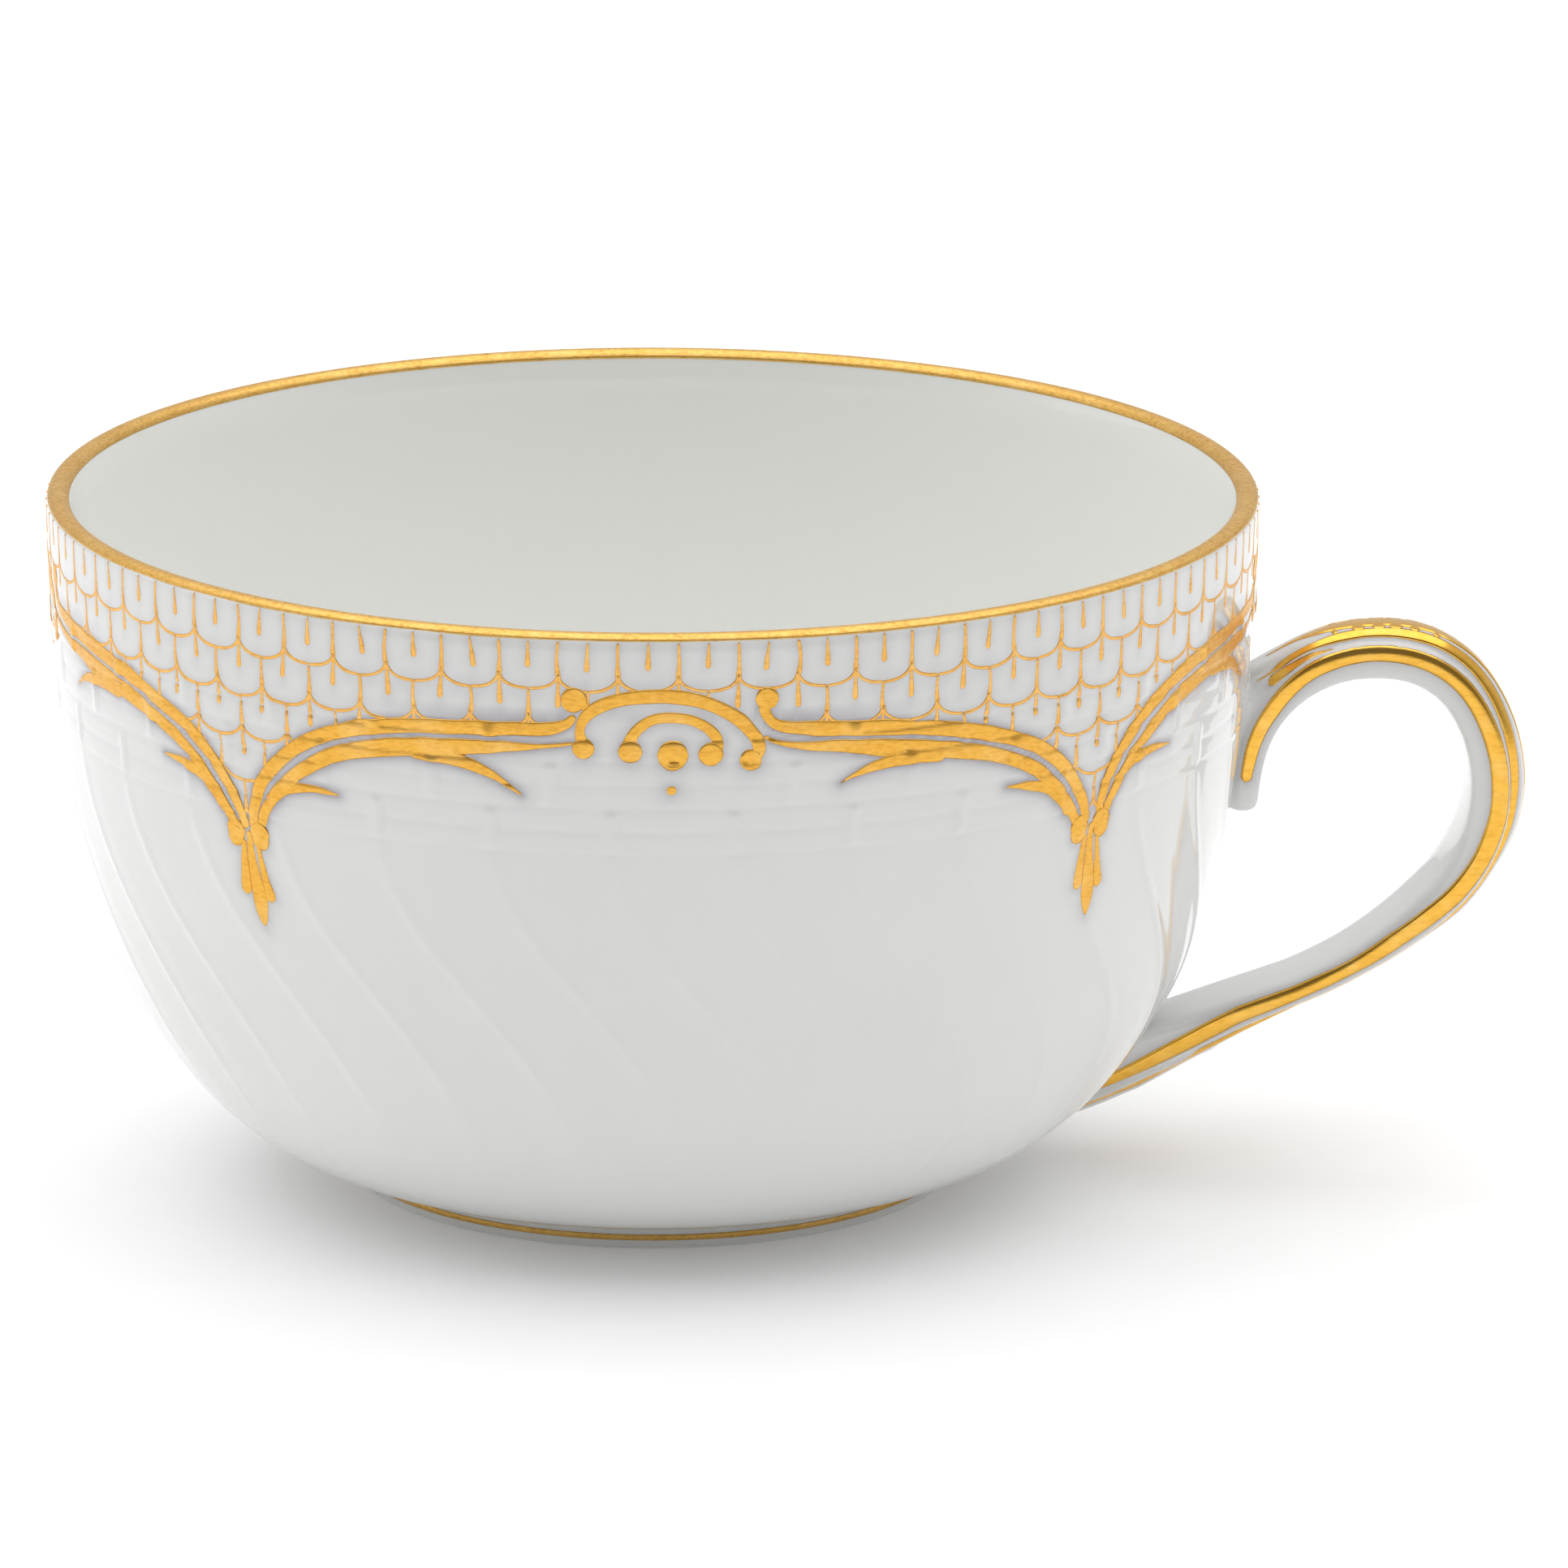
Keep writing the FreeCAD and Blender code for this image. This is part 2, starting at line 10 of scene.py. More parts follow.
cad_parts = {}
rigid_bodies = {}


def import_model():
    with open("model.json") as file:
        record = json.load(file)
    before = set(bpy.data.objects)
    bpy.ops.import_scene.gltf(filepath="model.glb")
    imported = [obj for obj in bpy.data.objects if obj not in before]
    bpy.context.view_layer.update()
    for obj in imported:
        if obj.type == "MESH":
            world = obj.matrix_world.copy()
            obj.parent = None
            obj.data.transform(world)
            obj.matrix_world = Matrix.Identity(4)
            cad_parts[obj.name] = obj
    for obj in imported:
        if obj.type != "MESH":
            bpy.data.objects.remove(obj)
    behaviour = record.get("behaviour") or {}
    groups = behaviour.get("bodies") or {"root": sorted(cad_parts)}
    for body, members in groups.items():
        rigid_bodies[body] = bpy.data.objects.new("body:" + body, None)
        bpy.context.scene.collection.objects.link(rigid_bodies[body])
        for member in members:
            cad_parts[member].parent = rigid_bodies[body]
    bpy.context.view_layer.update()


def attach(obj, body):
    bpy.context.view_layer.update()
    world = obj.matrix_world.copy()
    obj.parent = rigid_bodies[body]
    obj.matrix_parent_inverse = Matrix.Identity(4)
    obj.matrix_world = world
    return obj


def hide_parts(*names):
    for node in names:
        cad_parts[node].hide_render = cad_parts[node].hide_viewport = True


# A porcelain teacup with gilt ornament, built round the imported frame.
# Shape functions work in millimetres in the frame's axes; meshes are written in metres.
# Ornament angles are in degrees about Z, from -Y, positive towards the handle at +X.

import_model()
METRES = 0.001
rng = np.random.default_rng(11)

# ---------------------------------------------------------------- driving sizes

# The bowl's profile and the foot's radii, as in the CAD.
OUTER_STATIONS = [(50.09, 57.53), (49.22, 40.89), (45.93, 22.98), (38.69, 9.36), (26.12, 2.14)]
OUTER_ARCS = [263.18, 92.32, 37.49, 20.89]
INNER_STATIONS = [
    (48.19, 57.57), (47.33, 41.05), (44.10, 23.51), (37.23, 10.58), (26.41, 5.05), (0.0, 4.13),
]
INNER_ARCS = [261.3, 90.4, 35.6, 15.5, 378.6]
LIP_ARC = 1.0
BASE_HEIGHT = 2.14
FOOT_RADIUS = 25.60
FOOT_INNER_RADIUS = 22.40
# The lower and upper edge of the gold foot line, a little lower and narrower than in the CAD.
FOOT_LINE = (0.84, 1.34)

FLUTES = 32
FLUTE_STEP = 360 / FLUTES
FLUTE_PHASE = FLUTE_STEP / 2
WEAVE_BOTTOM = 40.0
ROD_HEIGHT = 1.95
WEAVE_TOP = 51.0
SWIRL_TOP = 41.0
SWIRL_RUN = 28.0
HALF_SWIRL = 8.65

# How far the relief stands out from the plain wall.
RIDGE_RISE = 0.10
HOLLOW_DEPTH = 0.05
FLUTE_LEAN = 0.025
ROD_RISE = 0.04
GROOVE_DEPTH = 0.10
RIB_RISE = 0.12
# Half widths of a ridge, a rib and a groove, where each has fallen to about a third.
RIDGE_REACH = 0.62
RIB_REACH = 0.55
GROOVE_REACH = 0.22


def arc_points(start, end, radius, count):
    """Points on the short arc that bulges away from the cup's axis and down."""
    start = np.array(start, float)
    end = np.array(end, float)
    chord = end - start
    half = np.linalg.norm(chord) / 2
    normal = np.array([chord[1], -chord[0]]) / (2 * half)
    centre = (start + end) / 2 + normal * math.sqrt(radius * radius - half * half)
    first = math.atan2(*(start - centre)[::-1])
    last = math.atan2(*(end - centre)[::-1])
    turn = (last - first + math.pi) % (2 * math.pi) - math.pi
    angles = first + turn * np.linspace(0, 1, count)
    return centre + radius * np.stack([np.cos(angles), np.sin(angles)], -1)


def arc_chain(stations, radii, count=80):
    runs = [arc_points(a, b, r, count)[:-1] for a, b, r in zip(stations, stations[1:], radii)]
    return np.concatenate(runs + [np.array([stations[-1]])])


OUTER = arc_chain(OUTER_STATIONS, OUTER_ARCS)[::-1]


def wall_radius(z):
    return np.interp(z, OUTER[:, 1], OUTER[:, 0])


def wall_slope(z):
    return (wall_radius(z + 0.2) - wall_radius(z - 0.2)) / 0.4


# ---------------------------------------------------------------- moulded relief

def smooth_step(low, high, x):
    t = np.clip((x - low) / (high - low), 0, 1)
    return t * t * (3 - 2 * t)


def swirl(z):
    """How far a flute has swung round, in degrees, at height z: an S from the weave to the base."""
    return HALF_SWIRL * (1 - np.cos(np.pi * np.clip((SWIRL_TOP - z) / SWIRL_RUN, 0, 1.25)))


def nearest_turn(angle, step, phase):
    """Signed distance in degrees to the nearest of the lines at phase + step * n."""
    return (angle - phase + step / 2) % step - step / 2


def relief(angle, z):
    """Height of the moulded relief over the plain wall: swirled flutes and a basket weave."""
    radius = wall_radius(z)
    to_mm = np.pi / 180 * radius
    gap = nearest_turn(angle - swirl(z), FLUTE_STEP, FLUTE_PHASE)
    flute_fade = smooth_step(7.0, 18.0, z) * (1 - smooth_step(38.6, 40.2, z))
    ridge = RIDGE_RISE * np.exp(-((gap * to_mm / RIDGE_REACH) ** 2))
    hollow = HOLLOW_DEPTH * (np.abs(gap) / (FLUTE_STEP / 2) - 0.5)
    lean = FLUTE_LEAN * np.sin(2 * np.pi * gap / FLUTE_STEP)
    flutes = flute_fade * (ridge - hollow + lean)

    course = np.floor((z - WEAVE_BOTTOM) / (2 * ROD_HEIGHT))
    phase = FLUTE_PHASE + np.where(course % 2 == 0, 0.0, FLUTE_STEP / 2)
    rib_gap = nearest_turn(angle, FLUTE_STEP, phase)
    in_course = (z - WEAVE_BOTTOM) / (2 * ROD_HEIGHT) - course
    # The ribs of the lowest course hook sideways at their foot.
    hook = np.where(course == 0, 0.9 * np.clip(0.22 - in_course, 0, 1), 0.0)
    rib_width = RIB_REACH * (1 + 0.4 * hook)
    rib = np.exp(-(((rib_gap + hook * 1.6) * to_mm / rib_width) ** 4))
    rib = rib * smooth_step(0.0, 0.15, in_course) * (1 - smooth_step(0.8, 1.0, in_course))
    in_rod = (z - WEAVE_BOTTOM) / ROD_HEIGHT % 1.0
    groove = np.exp(-((np.minimum(in_rod, 1 - in_rod) * ROD_HEIGHT / GROOVE_REACH) ** 2))
    weave_fade = smooth_step(39.7, 40.2, z) * (1 - smooth_step(WEAVE_TOP - 1.2, WEAVE_TOP, z))
    weave = weave_fade * (ROD_RISE - GROOVE_DEPTH * groove * (1 - rib) + RIB_RISE * rib)
    return flutes + weave


def on_wall(angle, z, lift):
    """The point at lift above the moulded wall, as an array (..., 3) in millimetres."""
    angle, z, lift = np.broadcast_arrays(
        np.asarray(angle, float), np.asarray(z, float), np.asarray(lift, float))
    slope = wall_slope(z)
    length = np.sqrt(1 + slope * slope)
    out = relief(angle, z) + lift
    radius = wall_radius(z) + out / length
    height = z - out * slope / length
    turn = np.radians(angle)
    return np.stack([radius * np.sin(turn), -radius * np.cos(turn), height], -1)


# ---------------------------------------------------------------- mesh helpers

def add_object(name, vertices, faces, material, smooth=True):
    mesh = bpy.data.meshes.new(name)
    mesh.from_pydata((np.asarray(vertices) * METRES).tolist(), [], faces)
    mesh.validate()
    mesh.update()
    if smooth:
        mesh.shade_smooth()
    piece = bpy.data.objects.new(name, mesh)
    bpy.context.scene.collection.objects.link(piece)
    piece.data.materials.append(material)
    return piece


def finish_piece(piece, slot, *nodes):
    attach(piece, "root")
    if nodes:
        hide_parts(*nodes)
    return piece


def grid_faces(rows, columns, close_rows=False, close_columns=False):
    """Quads over a grid of rows x columns vertices."""
    faces = []
    for row in range(rows if close_rows else rows - 1):
        following = (row + 1) % rows
        for column in range(columns if close_columns else columns - 1):
            beside = (column + 1) % columns
            faces.append((
                row * columns + column, row * columns + beside,
                following * columns + beside, following * columns + column,
            ))
    return faces


class Strokes:
    """Gathers many thin closed films into one mesh."""

    def __init__(self):
        self.vertices = []
        self.faces = []
        self.count = 0

    def add(self, grid):
        """grid: (along, around, 3), running round a film's section; its ends are capped."""
        along, around, _ = grid.shape
        self.vertices.append(grid.reshape(-1, 3))
        offset = self.count
        self.faces += [
            tuple(offset + index for index in face)
            for face in grid_faces(along, around, close_columns=True)
        ]
        self.faces.append(tuple(offset + index for index in range(around))[::-1])
        last = offset + (along - 1) * around
        self.faces.append(tuple(last + index for index in range(around)))
        self.count += along * around

    def build(self, name, material):
        return add_object(name, np.concatenate(self.vertices), self.faces, material)


def smooth_line(points, step=0.16):
    """A Catmull-Rom line through given points, evenly spaced at about step millimetres.
    The first two columns are place; the rest are carried along."""
    points = np.asarray(points, float)
    padded = np.vstack([2 * points[0] - points[1], points, 2 * points[-1] - points[-2]])
    t = np.linspace(0, 1, 24, endpoint=False)[:, None]
    runs = []
    for a, b, c, d in zip(padded, padded[1:], padded[2:], padded[3:]):
        runs.append(0.5 * (
            2 * b + (c - a) * t + (2 * a - 5 * b + 4 * c - d) * t ** 2
            + (3 * b - a - 3 * c + d) * t ** 3))
    dense = np.vstack(runs + [points[-1:]])
    length = np.concatenate([[0], np.cumsum(np.linalg.norm(np.diff(dense[:, :2], axis=0), axis=1))])
    count = max(6, int(length[-1] / step))
    wanted = np.linspace(0, length[-1], count)
    return np.stack([np.interp(wanted, length, dense[:, k]) for k in range(dense.shape[1])], -1)


def wavering(count, size, scale=9):
    """Slow seeded noise, for a hand-painted edge."""
    knots = rng.normal(0, size, max(4, count // scale + 3))
    return np.interp(np.linspace(0, len(knots) - 1, count), np.arange(len(knots)), knots)


def brush_outline(line, waver):
    """Left and right edges in millimetres along the wall for a line of (x, z, width)."""
    tangent = np.gradient(line[:, :2], axis=0)
    tangent /= np.linalg.norm(tangent, axis=1)[:, None] + 1e-9
    side = np.stack([-tangent[:, 1], tangent[:, 0]], -1)
    run = np.concatenate([[0], np.cumsum(np.linalg.norm(np.diff(line[:, :2], axis=0), axis=1))])
    width = np.maximum(line[:, 2], 0.02)
    to_end = np.minimum(run, run[-1] - run)
    rounding = np.clip(to_end / (width / 2), 0.004, 1)
    half = width / 2 * np.sqrt(1 - (1 - rounding) ** 2)
    left = line[:, :2] + side * (half + wavering(len(line), waver) * rounding)[:, None]
    right = line[:, :2] - side * (half + wavering(len(line), waver) * rounding)[:, None]
    return left, right


REFERENCE_RADIUS = 49.5
DEGREE = REFERENCE_RADIUS * math.pi / 180
# Across a film: share of the way from its left edge to its right one, and height.
FINE_SECTION = [(0.0, -0.05), (0.0, 0.6), (0.3, 1.0), (0.7, 1.0), (1.0, 0.6), (1.0, -0.05)]
BROAD_SECTION = [(0.0, -0.05), (0.0, 0.5), (0.1, 0.9), (0.25, 1.0), (0.42, 1.0), (0.58, 1.0),
                 (0.75, 1.0), (0.9, 0.9), (1.0, 0.5), (1.0, -0.05)]
BROAD_WIDTH = 0.6


def wall_film(strokes, points, height=0.055, waver=0.025, step=0.16, centre=0.0, stretch=1.0):
    """A painted stroke on the wall. points: (angle, z, width)."""
    line = np.asarray(points, float).copy()
    line[:, 0] = line[:, 0] * stretch * DEGREE
    line = smooth_line(line, step)
    left, right = brush_outline(line, waver)
    section = BROAD_SECTION if line[:, 2].max() > BROAD_WIDTH else FINE_SECTION
    grid = np.zeros((len(line), len(section), 3))
    for column, (share, level) in enumerate(section):
        place = left + (right - left) * share
        lift = height * level if level > 0 else level
        grid[:, column] = on_wall(centre + place[:, 0] / DEGREE, place[:, 1], lift)
    strokes.add(grid)


def wall_dot(strokes, angle, z, radius, height, centre):
    """A round dab: a short stroke as wide as it is long."""
    squash = rng.uniform(0.92, 1.08)
    tilt = rng.uniform(0, math.pi)
    reach = radius / DEGREE
    ends = [
        (angle + side * reach * math.cos(tilt), z + side * radius * math.sin(tilt))
        for side in (-0.999, 0.999)
    ]
    (a, za), (b, zb) = ends
    points = [(a, za, 2 * radius * squash), ((a + b) / 2, (za + zb) / 2, 2 * radius * squash),
              (b, zb, 2 * radius * squash)]
    wall_film(strokes, points, height, 0.03, radius / 7, centre)


# ---------------------------------------------------------------- materials

def new_material(name):
    material = bpy.data.materials.new(name)
    material.use_nodes = True
    nodes = material.node_tree.nodes
    links = material.node_tree.links
    return material, nodes, links, nodes["Principled BSDF"]


def noise_node(nodes, links, coordinates, scale, detail=2.0, roughness=0.5):
    noise = nodes.new("ShaderNodeTexNoise")
    noise.inputs["Scale"].default_value = scale
    noise.inputs["Detail"].default_value = detail
    noise.inputs["Roughness"].default_value = roughness
    links.new(coordinates, noise.inputs["Vector"])
    return noise.outputs["Fac"]


def colour_ramp(nodes, links, value, stops):
    ramp = nodes.new("ShaderNodeValToRGB")
    elements = ramp.color_ramp.elements
    elements[0].position, elements[0].color = stops[0][0], (*stops[0][1], 1)
    elements[1].position, elements[1].color = stops[-1][0], (*stops[-1][1], 1)
    for position, colour in stops[1:-1]:
        elements.new(position).color = (*colour, 1)
    links.new(value, ramp.inputs["Fac"])
    return ramp.outputs["Color"]


def mapped(nodes, links, value, low, high, out_low, out_high):
    node = nodes.new("ShaderNodeMapRange")
    for socket, number in zip(("From Min", "From Max", "To Min", "To Max"),
                              (low, high, out_low, out_high)):
        node.inputs[socket].default_value = number
    links.new(value, node.inputs["Value"])
    return node.outputs["Result"]


def mixed(nodes, links, factor, first, second):
    mix = nodes.new("ShaderNodeMix")
    mix.data_type = "RGBA"
    for socket, value in (("Factor", factor), ("A", first), ("B", second)):
        target = next(s for s in mix.inputs if s.name == socket and (
            s.type == "VALUE" if socket == "Factor" else s.type == "RGBA"))
        if isinstance(value, (int, float)):
            target.default_value = value
        elif isinstance(value, tuple):
            target.default_value = (*value, 1)
        else:
            links.new(value, target)
    return next(s for s in mix.outputs if s.type == "RGBA")


def bumped(nodes, links, height, strength, distance):
    bump = nodes.new("ShaderNodeBump")
    bump.inputs["Strength"].default_value = strength
    bump.inputs["Distance"].default_value = distance
    links.new(height, bump.inputs["Height"])
    return bump.outputs["Normal"]


BODY_WHITE = (0.80, 0.803, 0.785)
BODY_SHADE = (0.785, 0.788, 0.77)
# The bowl's inside is the same glaze, painted lighter and a touch yellower: painted light for the
# light that reaches into the bowl.
INSIDE_PAINTED_LIGHT = (0.90, 0.905, 0.875)
SPECK = (0.32, 0.29, 0.25)
HAZE_TINT = (0.36, 0.33, 0.37)


def porcelain_material(name, rough):
    """Glazed white porcelain: a faintly uneven body, pin-prick specks and a slightly wavy glaze.
    A piece's "inside" values paint it lighter, as painted light on the inside of the bowl, and its
    "haze" values tint the glaze beside the gold."""
    material, nodes, links, shader = new_material(name)
    place = nodes.new("ShaderNodeTexCoord").outputs["Object"]
    cloud = noise_node(nodes, links, place, 55.0, 3.0)
    colour = colour_ramp(nodes, links, cloud, [(0.3, BODY_SHADE), (0.7, BODY_WHITE)])
    rare = nodes.new("ShaderNodeTexVoronoi")
    rare.inputs["Scale"].default_value = 70.0
    links.new(place, rare.inputs["Vector"])
    near = mapped(nodes, links, rare.outputs["Distance"], 0.006, 0.016, 1.0, 0.0)
    colour = mixed(nodes, links, near, colour, SPECK)
    # "inside" paints the bowl's inside lighter, as painted light; "haze" is the glaze's own tint
    # beside the gold.
    for attribute, tint in (("inside", INSIDE_PAINTED_LIGHT), ("haze", HAZE_TINT)):
        share = nodes.new("ShaderNodeAttribute")
        share.attribute_name = attribute
        colour = mixed(nodes, links, share.outputs["Fac"], colour, tint)
    links.new(colour, shader.inputs["Base Color"])
    shader.inputs["IOR"].default_value = 1.5
    shader.inputs["Coat Weight"].default_value = 0.35
    shader.inputs["Coat Roughness"].default_value = 0.04
    shader.inputs["Subsurface Weight"].default_value = 0.12
    shader.inputs["Subsurface Radius"].default_value = (1.0, 0.9, 0.8)
    shader.inputs["Subsurface Scale"].default_value = 0.0012
    satin = noise_node(nodes, links, place, 420.0, 2.0)
    links.new(mapped(nodes, links, satin, 0.3, 0.7, rough * 0.8, rough * 1.3),
              shader.inputs["Roughness"])
    ripple = noise_node(nodes, links, place, 140.0, 1.0)
    links.new(bumped(nodes, links, ripple, 0.06, 0.0004), shader.inputs["Normal"])
    return material


def gold_material(name, bright, deep, rough, brush_scale):
    """Painted, burnished gold: brush streaks, thin worn patches and a satin sheen."""
    material, nodes, links, shader = new_material(name)
    place = nodes.new("ShaderNodeTexCoord").outputs["Object"]
    stretch = nodes.new("ShaderNodeMapping")
    stretch.inputs["Scale"].default_value = (1.0, 1.0, 3.2)
    links.new(place, stretch.inputs["Vector"])
    streak = noise_node(nodes, links, stretch.outputs["Vector"], brush_scale, 5.0, 0.65)
    patch = noise_node(nodes, links, place, 380.0, 2.0)
    colour = colour_ramp(nodes, links, streak, [(0.32, deep), (0.55, bright), (0.8, bright)])
    paler = mapped(nodes, links, patch, 0.5, 0.75, 0.0, 0.25)
    colour = mixed(nodes, links, paler, colour, (0.98, 0.72, 0.30))
    links.new(colour, shader.inputs["Base Color"])
    shader.inputs["Metallic"].default_value = 1.0
    links.new(mapped(nodes, links, streak, 0.3, 0.75, rough * 1.25, rough * 0.8),
              shader.inputs["Roughness"])
    links.new(bumped(nodes, links, streak, 0.2, 0.00004), shader.inputs["Normal"])
    return material


porcelain = porcelain_material("porcelain", 0.06)
gold = gold_material("gold_paint", (0.81, 0.44, 0.075), (0.70, 0.345, 0.05), 0.33, 1500.0)
gold_fine = gold_material("gold_fine", (0.88, 0.49, 0.13), (0.75, 0.38, 0.08), 0.36, 1500.0)
gold_rim = gold_material("gold_rim", (0.77, 0.46, 0.12), (0.56, 0.32, 0.07), 0.4, 2200.0)
gold_handle = gold_material("gold_handle", (0.85, 0.475, 0.075), (0.76, 0.40, 0.055), 0.18, 700.0)

# ---------------------------------------------------------------- bowl

FINE_COLUMNS = 896
COARSE_COLUMNS = 224


def outer_heights():
    """Heights of the outer rings, closest together over the woven band."""
    top = np.linspace(OUTER_STATIONS[0][1], WEAVE_TOP, 6)[:-1]
    weave = np.arange(WEAVE_TOP, 39.6, -0.28)
    flutes = np.arange(39.5, 8.4, -1.0)
    base = arc_points(OUTER_STATIONS[3], OUTER_STATIONS[4], OUTER_ARCS[3], 14)[3:, 1]
    return np.concatenate([top, weave, flutes, base])


def lip_points(count):
    """The lip's arc, from the outer edge over to the inner one."""
    outer = np.array(OUTER_STATIONS[0])
    inner = np.array(INNER_STATIONS[0])
    chord = outer - inner
    half = np.linalg.norm(chord) / 2
    up = np.array([-chord[1], chord[0]]) / (2 * half)
    centre = (outer + inner) / 2 - up * math.sqrt(LIP_ARC ** 2 - half ** 2)
    first = math.atan2(*(outer - centre)[::-1])
    last = math.atan2(*(inner - centre)[::-1])
    angles = np.linspace(first, last, count)
    return centre + LIP_ARC * np.stack([np.cos(angles), np.sin(angles)], -1), centre, angles


def ring(radius, z, columns):
    turn = np.arange(columns) * 2 * np.pi / columns
    return np.stack([radius * np.sin(turn), -radius * np.cos(turn), np.full(columns, z)], -1)


def make_bowl():
    angles = np.arange(FINE_COLUMNS) * 360 / FINE_COLUMNS
    # The columns follow the swirl, so that each ridge runs along the mesh.
    rows = [on_wall(angles + swirl(z), z, 0.0) for z in outer_heights()[::-1]]
    lip, _, _ = lip_points(9)
    rows += [ring(r, z, FINE_COLUMNS) for r, z in lip[1:]]
    fine = np.array(rows)
    inner = arc_chain(INNER_STATIONS, INNER_ARCS, 12)[2:-1:2]
    coarse = np.array([ring(r, z, COARSE_COLUMNS) for r, z in inner])
    faces = grid_faces(len(fine), FINE_COLUMNS, close_columns=True)
    offset = len(fine) * FINE_COLUMNS
    share = FINE_COLUMNS // COARSE_COLUMNS
    last = (len(fine) - 1) * FINE_COLUMNS
    for column in range(COARSE_COLUMNS):
        beside = (column + 1) % COARSE_COLUMNS
        near = [last + (column * share + k) % FINE_COLUMNS for k in range(share + 1)]
        faces.append((*near, offset + beside, offset + column))
    faces += [
        tuple(offset + index for index in face)
        for face in grid_faces(len(coarse), COARSE_COLUMNS, close_columns=True)
    ]
    vertices = np.concatenate([fine.reshape(-1, 3), coarse.reshape(-1, 3)])
    floor = len(vertices)
    under = floor + 1
    middles = np.array([[0, 0, INNER_STATIONS[-1][1]], [0, 0, BASE_HEIGHT]])
    vertices = np.concatenate([vertices, middles])
    rim_of_floor = offset + (len(coarse) - 1) * COARSE_COLUMNS
    for column in range(COARSE_COLUMNS):
        faces.append((rim_of_floor + column, rim_of_floor + (column + 1) % COARSE_COLUMNS, floor))
    for column in range(FINE_COLUMNS):
        faces.append(((column + 1) % FINE_COLUMNS, column, under))
    bowl = add_object("bowl_body", vertices, faces, porcelain)
    return finish_piece(bowl, "porcelain", "bowl")


# ---------------------------------------------------------------- ornament

# Strokes as (angle, height, width), measured from each garland's crest.
UPPER_LEFT = [
    (-8.9, 51.7, 0.45), (-9.7, 50.95, 0.85), (-11.5, 50.5, 1.1), (-15.0, 50.35, 1.2),
    (-24.2, 49.95, 1.25), (-31.0, 48.9, 1.25), (-36.5, 46.8, 1.2), (-40.5, 43.6, 1.2),
    (-42.1, 40.7, 1.0), (-42.2, 38.9, 0.8),
]
UPPER_RIGHT = [
    (8.3, 52.7, 1.0), (8.35, 52.0, 0.9), (8.75, 51.35, 0.85), (9.4, 50.85, 0.9),
    (10.7, 50.5, 1.05), (12.9, 50.3, 1.25),
    (17.5, 50.05, 1.25), (22.8, 49.6, 1.25), (28.1, 48.85, 1.25), (34.0, 47.25, 1.2),
    (37.1, 46.0, 1.2), (40.0, 43.95, 1.15), (42.1, 41.5, 1.05), (43.0, 39.8, 0.9), (43.2, 38.9, 0.8),
]
LOWER_LEFT = [
    (-9.0, 49.4, 0.2), (-12.0, 49.05, 0.45), (-15.5, 48.85, 0.9), (-20.0, 48.55, 1.4),
    (-26.5, 47.95, 1.55), (-32.5, 46.6, 1.3), (-37.5, 43.9, 1.1), (-40.4, 41.1, 1.0),
    (-41.4, 39.3, 0.9),
]
LOWER_RIGHT = [
    (8.3, 49.85, 0.25), (9.8, 49.3, 0.4), (12.5, 48.9, 0.7), (16.0, 48.65, 1.1),
    (20.0, 48.2, 1.5), (25.5, 47.55, 1.45), (31.0, 46.5, 1.25), (35.5, 44.9, 1.1),
    (38.6, 42.8, 1.05), (41.1, 40.3, 1.0), (42.0, 38.9, 0.9),
]
LONG_SPUR_LEFT = [(-24.5, 47.9, 1.2), (-20.6, 47.6, 1.2), (-17.4, 46.8, 0.85), (-15.2, 45.7, 0.4),
                  (-13.8, 44.9, 0.08)]
LONG_SPUR_RIGHT = [(26.0, 47.1, 1.2), (22.0, 47.2, 1.2), (18.9, 46.8, 0.8), (17.0, 46.2, 0.4),
                   (15.6, 45.6, 0.08)]
SHORT_SPUR_LEFT = [(-40.4, 41.4, 1.1), (-38.3, 42.95, 1.05), (-36.2, 43.4, 0.8),
                   (-33.8, 43.45, 0.45), (-32.0, 43.3, 0.08)]
SHORT_SPUR_RIGHT = [(41.0, 40.0, 1.0), (39.7, 41.5, 1.2), (37.7, 42.7, 0.97), (35.6, 43.2, 0.7),
                    (34.1, 43.35, 0.4), (32.8, 43.45, 0.08)]
GARLAND_STROKES = [SHORT_SPUR_LEFT, SHORT_SPUR_RIGHT, LONG_SPUR_LEFT, LONG_SPUR_RIGHT,
                   LOWER_LEFT, LOWER_RIGHT, UPPER_LEFT, UPPER_RIGHT]
GREAT_ARCH = [
    (-8.2, 49.3, 0.95), (-8.4, 50.5, 0.75), (-7.9, 51.6, 0.9), (-6.5, 52.55, 1.05),
    (-4.4, 53.15, 1.1), (-2.0, 53.35, 1.15), (0.3, 53.3, 1.15), (2.5, 52.95, 1.15), (4.7, 52.1, 1.1),
    (6.4, 51.05, 1.1), (7.6, 49.8, 1.05), (7.85, 48.75, 1.0), (7.3, 48.1, 0.95),
]
SMALL_ARCH = [
    (-4.0, 48.9, 1.4), (-3.75, 49.8, 1.0), (-3.2, 50.6, 0.85), (-2.0, 51.35, 0.85),
    (-0.5, 51.6, 0.9), (1.4, 51.45, 0.85), (2.8, 50.9, 0.85), (3.8, 50.1, 0.9), (4.1, 49.2, 0.9),
    (3.7, 48.7, 0.9),
]
BULB_NECK = [(-8.4, 52.8, 0.9), (-7.6, 52.25, 0.6), (-7.0, 51.9, 0.5)]
CREST_DOTS = [
    (0.0, 48.5, 1.22), (-0.1, 45.65, 0.38), (-8.95, 52.95, 1.05), (8.55, 53.0, 0.92),
    (-8.1, 49.0, 0.86), (7.1, 48.0, 0.86), (-3.85, 48.8, 0.95), (3.45, 48.55, 0.97),
]
TASSEL_DOTS = [(-1.6, 38.65, 1.0), (-1.7, 38.1, 0.88), (1.4, 38.75, 1.02), (1.45, 38.2, 0.9)]
